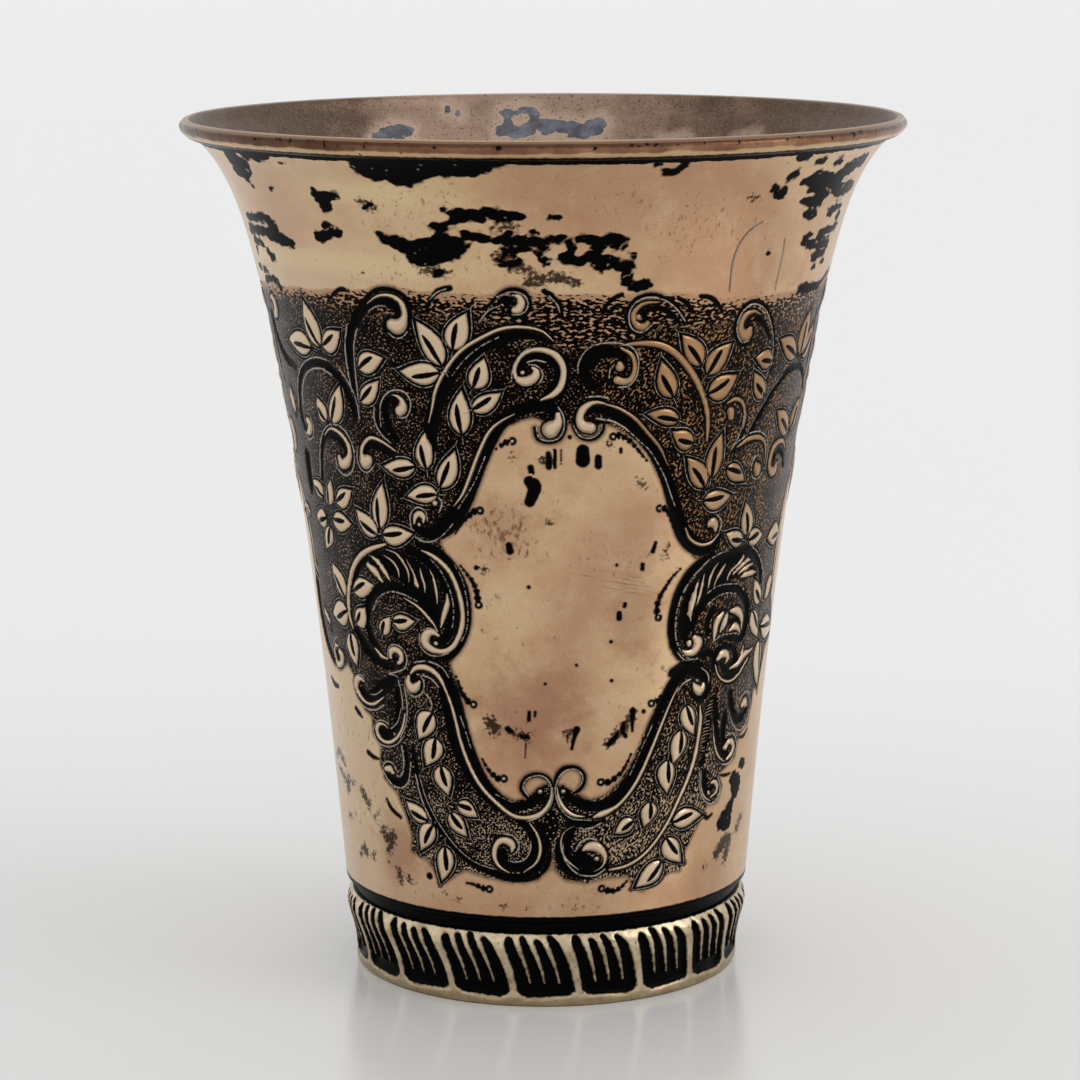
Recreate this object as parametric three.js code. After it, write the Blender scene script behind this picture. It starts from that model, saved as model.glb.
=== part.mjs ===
// Silver beaker: a raised, flaring cup with a half-round wire under its lip, a fluted foot ring
// soldered round its drawn-in foot, and a domed disc that closes the bottom.
// Millimetres, +Z up. The origin is the centre of the standing edge.

import * as THREE from 'three';

// Cup wall, measured on its outside
const footHeight = 9.4; // standing edge to the shoulder above the foot
const wallHeight = 80; // shoulder to lip
const shoulderRadius = 21.45;
const taper = 0.086; // widening for each millimetre of height
const bellSwell = 5.25; // extra radius of the bell at the lip
const bellPower = 2.95; // how late the bell opens
const lipSwell = 3.95; // extra radius of the turned-out lip
const lipPower = 21; // how suddenly the lip turns out
const wallThickness = 0.7;

// Foot of the cup, drawn in under the shoulder
const footStep = 0.75; // how far the wall is drawn in
const footStepHeight = 0.4; // height of the slope that draws it in
const footDraft = 0.125; // narrowing for each millimetre downward

// Half-round wire under the lip
const wireWidth = 1.7; // flat side, along the wall
const wireDepth = 0.6; // how far the round side stands off the wall

// Fluted foot ring
const ringHeight = 8;
const ringBulgeHeight = 6.3; // height of the widest part
const ringBulge = 0.94; // thickness there, out from the cup's foot
const ringEdgeHeight = 0.45; // rounding of the standing edge
const ringEdge = 0.67; // thickness just above that rounding
const ringEdgeRounding = 0.4; // how far the standing edge lies inside it
const ringTopRounding = 0.35;
const flangeThickness = 0.6; // ledge that carries the cup and the disc
const flangeWidth = 1.55; // how far the ledge reaches in under them
const fluteGroups = 19;
const flutesInGroup = 4;
const groupRidge = 1.5; // width of the broad ridge between two groups
const fluteDepth = 0.42;
const crestDrop = 0.1; // how far the thin ridges lie below the broad ones
const fluteFoot = 1.5; // height of the trough that joins the flutes of a group
const crestFoot = 2.6; // height at which the thin ridges start
const fluteTop = 6.9; // height at which the flutes run out
const fluteRunOut = 0.45; // length of the slope at either end of a flute
const fluteLean = 1.6; // sideways sweep from foot to top

// Bottom disc
const discThickness = 0.8;
const discDome = 0.8; // rise of the middle

// Solder film between two pieces
const solderGap = 0.1;

// Facets round the turned pieces, and along their curved stretches
const turns = 80;
const wallSteps = 15;
const roundSteps = 7;

const silver = (color, roughness) => new THREE.MeshStandardMaterial({ color, roughness, metalness: 1 });

// Outside radius of the wall at a height above the shoulder.
function wallRadius(height) {
  const share = height / wallHeight;
  return shoulderRadius + taper * height + bellSwell * share ** bellPower + lipSwell * share ** lipPower;
}

// Outside radius of the drawn-in foot at a height above the standing edge.
function footRadius(height) {
  const top = footHeight - footStepHeight;
  return shoulderRadius - footStep - footDraft * (top - height);
}

// Outside of the wall as points from the shoulder to the lip, closer together where it flares.
function wallCurve() {
  const points = [];
  for (let i = 0; i <= wallSteps; i += 1) {
    const height = wallHeight * (1 - (1 - i / wallSteps) ** 1.7);
    points.push(new THREE.Vector2(wallRadius(height), footHeight + height));
  }
  return points;
}

// Unit direction that points away from the wall, on its outside, at a height above the shoulder.
function wallNormal(height) {
  const share = height / wallHeight;
  const bell = bellSwell * bellPower * share ** (bellPower - 1);
  const lip = lipSwell * lipPower * share ** (lipPower - 1);
  const slope = taper + (bell + lip) / wallHeight;
  return new THREE.Vector2(1, -slope).normalize();
}

// Turned solid from a closed outline of radius and height.
function turned(outline) {
  const geometry = new THREE.LatheGeometry([...outline, outline[0]], turns);
  return geometry.rotateX(Math.PI / 2);
}

// Cup: the outside upward, round the lip, the inside downward, and the foot's end.
function cupGeometry() {
  const outside = wallCurve();
  const shift = (point) => point.clone()
    .addScaledVector(wallNormal(point.y - footHeight), -wallThickness);
  const inside = outside.map(shift).reverse();
  const lipOut = outside[outside.length - 1];
  const lipIn = inside[0];
  const middle = lipOut.clone().add(lipIn).multiplyScalar(0.5);
  const half = lipOut.clone().sub(middle);
  const lip = [];
  for (let i = 1; i < 4; i += 1) {
    const turnedHalf = half.clone().rotateAround(new THREE.Vector2(), i * Math.PI / 4);
    lip.push(turnedHalf.add(middle));
  }
  const stepTop = footHeight - footStepHeight;
  const end = flangeThickness + solderGap;
  const foot = [
    new THREE.Vector2(footRadius(stepTop) - wallThickness, stepTop - wallThickness / 3),
    new THREE.Vector2(footRadius(end) - wallThickness, end),
    new THREE.Vector2(footRadius(end), end),
    new THREE.Vector2(footRadius(stepTop), stepTop),
  ];
  return turned([...outside, ...lip, ...inside, ...foot]);
}

// Wire: the flat side lies along the wall below the lip, and the round side faces out.
function wireGeometry() {
  const upper = new THREE.Vector2(wallRadius(wallHeight), footHeight + wallHeight);
  const normal = wallNormal(wallHeight);
  upper.addScaledVector(normal, solderGap);
  const drop = wireWidth * normal.x;
  const lower = new THREE.Vector2(wallRadius(wallHeight - drop), footHeight + wallHeight - drop);
  lower.addScaledVector(wallNormal(wallHeight - drop), solderGap);
  const middle = upper.clone().add(lower).multiplyScalar(0.5);
  const along = upper.clone().sub(middle);
  const away = new THREE.Vector2(along.y, -along.x).setLength(wireDepth);
  const outline = [];
  for (let i = 0; i <= roundSteps; i += 1) {
    const angle = Math.PI * (1 - i / roundSteps);
    const point = middle.clone().addScaledVector(along, Math.cos(angle));
    outline.push(point.addScaledVector(away, Math.sin(angle)));
  }
  return turned(outline);
}

// Disc: dropped into the cup's foot, with its edge over the ring's ledge and its middle raised.
function discGeometry() {
  const low = flangeThickness + solderGap;
  const radius = footRadius(low) - wallThickness - solderGap;
  const steps = 4;
  const under = [];
  for (let i = 0; i <= steps; i += 1) {
    const share = i / steps;
    under.push(new THREE.Vector2(radius * share, low + discDome * (1 - share ** 2) ** 2));
  }
  const over = under.map((point) => new THREE.Vector2(point.x, point.y + discThickness)).reverse();
  const geometry = new THREE.LatheGeometry([...under, ...over], turns);
  return geometry.rotateX(Math.PI / 2);
}

// Inside radius of the foot ring, where it is soldered to the cup's foot.
function seatRadius(height) {
  return footRadius(height) + solderGap;
}

const ringBulgeRadius = seatRadius(ringBulgeHeight) + ringBulge;
const ringEdgeRadius = seatRadius(ringEdgeHeight) + ringEdge;

// Outside radius of the foot ring at a height, before the flutes are sunk.
function ringRadius(height) {
  const share = (ringBulgeHeight - height) / (ringBulgeHeight - ringEdgeHeight);
  return ringBulgeRadius - (ringBulgeRadius - ringEdgeRadius) * share ** 2;
}

// Columns of one flute group: the broad ridge's two edges, then floors and thin crests in turn.
// The middle of the first group faces the front, -Y.
function groupColumns() {
  const pitch = 2 * Math.PI * ringBulgeRadius / fluteGroups;
  const front = -Math.PI / 2 - (pitch + groupRidge) / 2 / ringBulgeRadius;
  const fluteWidth = (pitch - groupRidge) / flutesInGroup;
  const columns = [{ place: 0, kind: 'ridge' }, { place: groupRidge, kind: 'ridge' }];
  for (let i = 0; i < flutesInGroup; i += 1) {
    columns.push({ place: groupRidge + (i + 0.5) * fluteWidth, kind: 'floor' });
    if (i < flutesInGroup - 1) columns.push({ place: groupRidge + (i + 1) * fluteWidth, kind: 'crest' });
  }
  return columns.map(({ place, kind }) => ({ angle: front + place / ringBulgeRadius, kind }));
}

// Depth sunk at a height below the ring's outside, for one kind of column.
function sunk(kind, height) {
  if (kind === 'ridge') return 0;
  const inFlute = height > fluteFoot - fluteRunOut / 2 && height < fluteTop + fluteRunOut / 2;
  if (!inFlute) return 0;
  return kind === 'crest' && height > crestFoot ? crestDrop : fluteDepth;
}

// Foot ring: one closed skin swept round the axis, its columns swept sideways towards the top.
function ringGeometry() {
  const top = ringHeight;
  const flangeRadius = seatRadius(flangeThickness) - flangeWidth;
  const heights = [
    fluteFoot - fluteRunOut, fluteFoot, crestFoot, crestFoot + fluteRunOut,
    (crestFoot + fluteTop) / 2, fluteTop, fluteTop + fluteRunOut,
  ];
  const section = [
    { height: 0, radius: () => flangeRadius },
    { height: 0, radius: () => ringEdgeRadius - ringEdgeRounding },
    { height: ringEdgeHeight, radius: () => ringEdgeRadius },
    ...heights.map((height) => ({ height, radius: (kind) => ringRadius(height) - sunk(kind, height) })),
    { height: top - ringTopRounding, radius: () => ringRadius(top - ringTopRounding) },
    { height: top, radius: () => ringRadius(top) - ringTopRounding },
    { height: top, radius: () => seatRadius(top) },
    { height: flangeThickness, radius: () => seatRadius(flangeThickness) },
    { height: flangeThickness, radius: () => flangeRadius },
  ];
  const columns = groupColumns();
  const positions = [];
  for (let group = 0; group < fluteGroups; group += 1) {
    for (const { angle, kind } of columns) {
      for (const { height, radius } of section) {
        const rise = Math.min(Math.max((height - fluteFoot) / (fluteTop - fluteFoot), 0), 1);
        const sweep = fluteLean / ringBulgeRadius * rise * (0.4 + 0.6 * rise);
        const turn = 2 * Math.PI * group / fluteGroups + angle - sweep;
        const reach = radius(kind);
        positions.push(reach * Math.cos(turn), reach * Math.sin(turn), height);
      }
    }
  }
  const count = fluteGroups * columns.length;
  const rows = section.length;
  const index = [];
  for (let c = 0; c < count; c += 1) {
    const next = (c + 1) % count;
    for (let r = 0; r < rows; r += 1) {
      const up = (r + 1) % rows;
      const [a, b, d, e] = [c * rows + r, next * rows + r, next * rows + up, c * rows + up];
      index.push(a, b, d, a, d, e);
    }
  }
  const geometry = new THREE.BufferGeometry();
  geometry.setAttribute('position', new THREE.Float32BufferAttribute(positions, 3));
  geometry.setIndex(index);
  geometry.computeVertexNormals();
  return geometry;
}

const beaker = new THREE.Group();

function addPiece(name, geometry, material) {
  const mesh = new THREE.Mesh(geometry, material);
  mesh.name = name;
  beaker.add(mesh);
}

addPiece('cup_body', cupGeometry(), silver('#c6a888', 0.28));
addPiece('rim_wire', wireGeometry(), silver('#9c7a60', 0.32));
addPiece('foot_ring', ringGeometry(), silver('#a8937a', 0.35));
addPiece('base_disc', discGeometry(), silver('#8f8072', 0.45));

export default beaker;
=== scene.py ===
import math
import bpy
import numpy as np
from mathutils import Euler, Matrix, Vector


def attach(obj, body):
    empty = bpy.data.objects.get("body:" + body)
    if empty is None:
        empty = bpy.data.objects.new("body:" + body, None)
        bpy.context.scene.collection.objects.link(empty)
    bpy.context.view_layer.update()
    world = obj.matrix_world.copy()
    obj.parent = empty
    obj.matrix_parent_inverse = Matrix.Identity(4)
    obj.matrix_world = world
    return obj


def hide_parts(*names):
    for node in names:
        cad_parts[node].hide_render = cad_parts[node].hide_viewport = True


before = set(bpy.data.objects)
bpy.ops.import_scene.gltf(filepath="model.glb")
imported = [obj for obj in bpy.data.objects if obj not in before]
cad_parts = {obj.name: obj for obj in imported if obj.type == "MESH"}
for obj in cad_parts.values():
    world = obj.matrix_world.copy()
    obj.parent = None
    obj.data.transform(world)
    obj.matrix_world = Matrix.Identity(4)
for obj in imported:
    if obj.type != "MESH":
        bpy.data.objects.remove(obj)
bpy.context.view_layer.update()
mm = 0.001


def toLinear(hexColour):
    parts = [int(hexColour[i:i + 2], 16) / 255 for i in (1, 3, 5)]
    return tuple(p / 12.92 if p <= 0.04045 else ((p + 0.055) / 1.055) ** 2.4 for p in parts) + (1.0,)


tree = None  # the node tree of the material being made
modes = {"Math": "operation", "VectorMath": "operation", "MapRange": "interpolation_type"}


def add(kind, *inputs, out=0, **settings):
    # adds a node; a word after the kind is its mode, capitals alone are a Math mode or a smooth range,
    # and a dictionary names sockets
    if kind.isupper():
        kind = "MapRange SMOOTHSTEP" if kind == "SMOOTH" else "Math " + kind
    kind, _, mode = kind.partition(" ")
    node = tree.nodes.new("ShaderNode" + kind)
    if mode:
        setattr(node, modes[kind], mode)
    for key, value in settings.items():
        setattr(node, key, value)
    given = inputs[0] if inputs and isinstance(inputs[0], dict) else dict(enumerate(inputs))
    for key, value in given.items():
        if isinstance(value, bpy.types.NodeSocket):
            tree.links.new(value, node.inputs[key])
        elif value is not None:
            node.inputs[key].default_value = value
    return node.outputs[out] if out is not None else node


def startMaterial(name):
    global tree
    material = bpy.data.materials.new(name)
    material.use_nodes = True
    tree = material.node_tree
    tree.nodes.clear()
    return material


def endMaterial(material, sockets):
    add("OutputMaterial", add("BsdfPrincipled", sockets), out=None)
    return material


def objectPlace():
    # the place on the cup, in mm
    return add("VectorMath SCALE", {0: add("TexCoord", out="Object"), "Scale": 1 / mm})


def spinSection(name, section, steps):
    # a closed loop of (radius, height) in mm, spun round the cup's axis
    bpy.ops.object.select_all(action="DESELECT")
    bpy.ops.mesh.primitive_circle_add(vertices=len(section), radius=1)
    piece = bpy.context.object
    piece.name = piece.data.name = name
    for vertex, (radius, height) in zip(piece.data.vertices, section):
        vertex.co = (radius * mm, 0, height * mm)
    bpy.ops.object.mode_set(mode="EDIT")
    bpy.ops.mesh.select_all(action="SELECT")
    bpy.ops.mesh.spin(steps=steps, angle=math.tau, center=(0, 0, 0), axis=(0, 0, 1))
    bpy.ops.mesh.select_all(action="SELECT")
    bpy.ops.mesh.remove_doubles(threshold=0.01 * mm)
    bpy.ops.mesh.normals_make_consistent(inside=False)
    bpy.ops.object.mode_set(mode="OBJECT")
    bpy.ops.object.shade_smooth()
    return piece


def readMesh(piece):
    # vertex places in mm, and the four corners of each face
    mesh = piece.data
    places = np.empty(len(mesh.vertices) * 3)
    mesh.vertices.foreach_get("co", places)
    corners = np.empty(len(mesh.loops), dtype=int)
    mesh.loops.foreach_get("vertex_index", corners)
    return places.reshape(-1, 3) / mm, corners.reshape(-1, 4)


def writePlaces(piece, places):
    piece.data.vertices.foreach_set("co", (places * mm).ravel())
    piece.data.update()


def writeCorners(piece, name, values):
    layer = piece.data.attributes.new(name, "FLOAT_COLOR", "CORNER")
    layer.data.foreach_set("color", np.ascontiguousarray(values, dtype=np.float32).ravel())


def writeMap(piece, name, values):
    layer = piece.data.uv_layers.new(name=name)
    layer.data.foreach_set("uv", np.ascontiguousarray(values, dtype=np.float32).ravel())


def aroundFaces(places, corners):
    # angle from the front of each face corner, kept together across the back
    angle = np.arctan2(places[:, 0], -places[:, 1])[corners]
    jump = angle.max(1) - angle.min(1) > math.pi
    angle[jump] = np.where(angle[jump] < 0, angle[jump] + math.tau, angle[jump])
    return angle


def finishPiece(piece, node, material):
    piece.data.materials.append(material)
    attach(piece, "root")
    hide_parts(node)


farAway = 9.0  # mm, where no stroke or leaf is near

# The cup's wall, the same curve as the solid's: rings as heights or as (radius, height), in mm
cup = {
    "foot": 9.4, "rise": 80, "base": 21.45, "slope": 0.086, "flare": 5.25, "flarePower": 2.95,
    "lip": 3.95, "lipPower": 21, "wall": 0.7, "wallGrowth": 0.06, "columns": 408, "mapRadius": 25,
    "footRings": [9.4, 9.8, 10.2], "chasedFrom": 10.6, "chasedTo": 75.8, "chasedStep": 0.4,
    "neckTo": 87.9, "neckRings": 27, "lipRings": [88.3, 88.7, 89.1, 89.4], "lipOutside": (37.3, 89.45),
    "footOuter": [(19.66, 0.72), (20, 3.5), (20.35, 6.2), (20.62, 8.4), (20.72, 9), (20.95, 9.2), (21.25, 9.28)],
    "lipTurn": [(37.42, 89.68), (37.25, 89.92), (36.95, 90.02), (36.65, 89.9), (36.3, 89.55)],
    "mouthRings": [88.9, 88.4, 87.9, 87.4, 86.9, 86.4, 85.9, 85.4, 84.9, 84.4, 83.6],
    "innerRings": [82, 80, 76, 70, 62, 54, 46, 38, 30, 22, 15, 10.5], "mouthFrom": 70,
    "footInner": [(20.4, 9.2), (20.02, 8.4), (19.7, 6.2), (19.3, 3.5), (18.96, 0.72)],
    "ornamentFrom": 9.5, "ornamentTo": 89.3,
}


def wallRadius(height):
    rise = np.maximum(np.asarray(height, dtype=float) - cup["foot"], 0)
    share = rise / cup["rise"]
    straight = cup["base"] + cup["slope"] * rise
    return straight + cup["flare"] * share ** cup["flarePower"] + cup["lip"] * share ** cup["lipPower"]


# Chased ornament, unrolled from the front: mm to the right along the wall, mm above the table
# Leaves go from stalk to tip, with their half width
leaves = [
    (-9.1, 69, -8.2, 72.9, 1.17), (-10.3, 67.4, -12.5, 72, 1.1), (-10.6, 66.6, -14.9, 66, 1.1),
    (-7.1, 65.2, -5.5, 68, 1), (-8.3, 60.5, -8.8, 64.9, 1.05), (-7.2, 63, -4.1, 64.4, 0.85),
    (-12.2, 56.7, -12.8, 60.3, 0.95), (-10.7, 54.9, -8.6, 58.5, 1), (-13.5, 56.8, -17.3, 56.1, 0.9),
    (-11, 54.1, -14.5, 54.1, 0.9), (-20.1, 66.4, -17.2, 68.2, 1.1), (-20.1, 63, -17.3, 65, 0.9),
    (13.2, 63.9, 11.4, 67.4, 1.05), (13.9, 61.4, 10.5, 62.7, 0.8), (15.7, 58.9, 13, 59.9, 0.95),
    (17.2, 54.2, 15.5, 57.7, 1.1), (18.1, 55.1, 18.9, 59.7, 1.05), (16.4, 66.9, 14.6, 70.4, 1.1),
    (17.2, 65.9, 19.8, 69.2, 1.1), (17.4, 63.9, 21.4, 64.9, 1.2), (-18.1, 49.9, -18.1, 54.7, 1.05),
    (-17.8, 49.3, -13.9, 49.3, 1), (-18.5, 49.2, -21.8, 51.1, 1), (-16.8, 40.3, -13.9, 40.2, 0.8),
    (-18.3, 38.6, -17.5, 40.8, 0.8), (17.2, 52.8, 21, 52.4, 1), (23.4, 47.8, 20.4, 48.5, 0.85),
    (-12, 31, -14.2, 28.4, 1.15), (-11.7, 28.4, -12.4, 25.2, 1.1), (-11.1, 25.5, -10.8, 22.4, 1),
    (-9.3, 21.6, -7, 20.8, 0.8), (-10.1, 20.6, -8.6, 18, 0.8), (-12.9, 19.4, -15.8, 20.7, 0.85),
    (-12.2, 19, -14.2, 16.3, 1), (-10.8, 16.8, -10.7, 13.1, 0.95), (15.4, 31.3, 16.1, 27.9, 0.95),
    (14.8, 28.7, 14.3, 25.2, 1), (13.2, 25.7, 12.6, 22.3, 1.05), (11.1, 21.5, 10.8, 18.9, 0.9),
    (9.2, 19.7, 7, 18.9, 0.75), (13.9, 18.9, 17.8, 19.6, 1), (13.1, 17.3, 14.5, 14.2, 1.1),
    (12.5, 14.9, 9.8, 12.2, 1), (-27.7, 67.8, -32.5, 68.8, 1.2), (-25.9, 68.2, -28.9, 72.4, 1.2),
    (-25.4, 68.3, -22.3, 69.5, 1.15), (-25.7, 60.3, -27.6, 62.4, 0.9), (-24.8, 60.3, -22.6, 64.1, 1.1),
    (-33.4, 60.1, -34.8, 62.8, 0.8), (-24.9, 51.9, -21.9, 53, 1), (-26.4, 51.3, -26.1, 54.1, 0.85),
    (-27.7, 52, -29.8, 53.8, 0.85), (-27.3, 49.8, -29.8, 49.2, 1), (-25.8, 50, -22.5, 49.3, 1.05),
    (-26.6, 48.9, -27.5, 46.2, 0.95), (-24.3, 41.7, -26.5, 45.3, 1), (-24.1, 40.3, -27.3, 38.9, 1.35),
    (-23.6, 38, -23.3, 34.4, 1.1), (-22.6, 42.6, -19.5, 44.2, 1.05), (-22.4, 39.2, -20.6, 40.7, 1.05),
    (-28.6, 37.7, -30.6, 39.4, 0.6), (32, 66.2, 28.5, 68.9, 1.15), (33.2, 66.2, 34.8, 71, 1.3),
    (26.8, 66.2, 24.1, 67.4, 1), (25.8, 62.7, 23.5, 65.1, 1), (31.9, 58, 29.2, 61.2, 1.15),
    (20.2, 55.8, 23.3, 54.6, 0.9), (24, 48.2, 24.2, 51.8, 1.1), (24.4, 47.6, 27.4, 48.2, 0.95),
    (32.5, 47.1, 29, 47.6, 1.2), (28, 40.3, 26, 42.8, 0.95), (26.2, 39.7, 27.6, 36.3, 1), (29, 37.4, 34.1, 36.7, 1.3),
    (28.6, 36, 28.3, 31, 1.2), (31.6, 42.6, 29.8, 40.1, 0.9), (34.2, 66, 38, 68.6, 1.1), (33, 58.2, 35.5, 61.6, 1),
]

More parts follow.
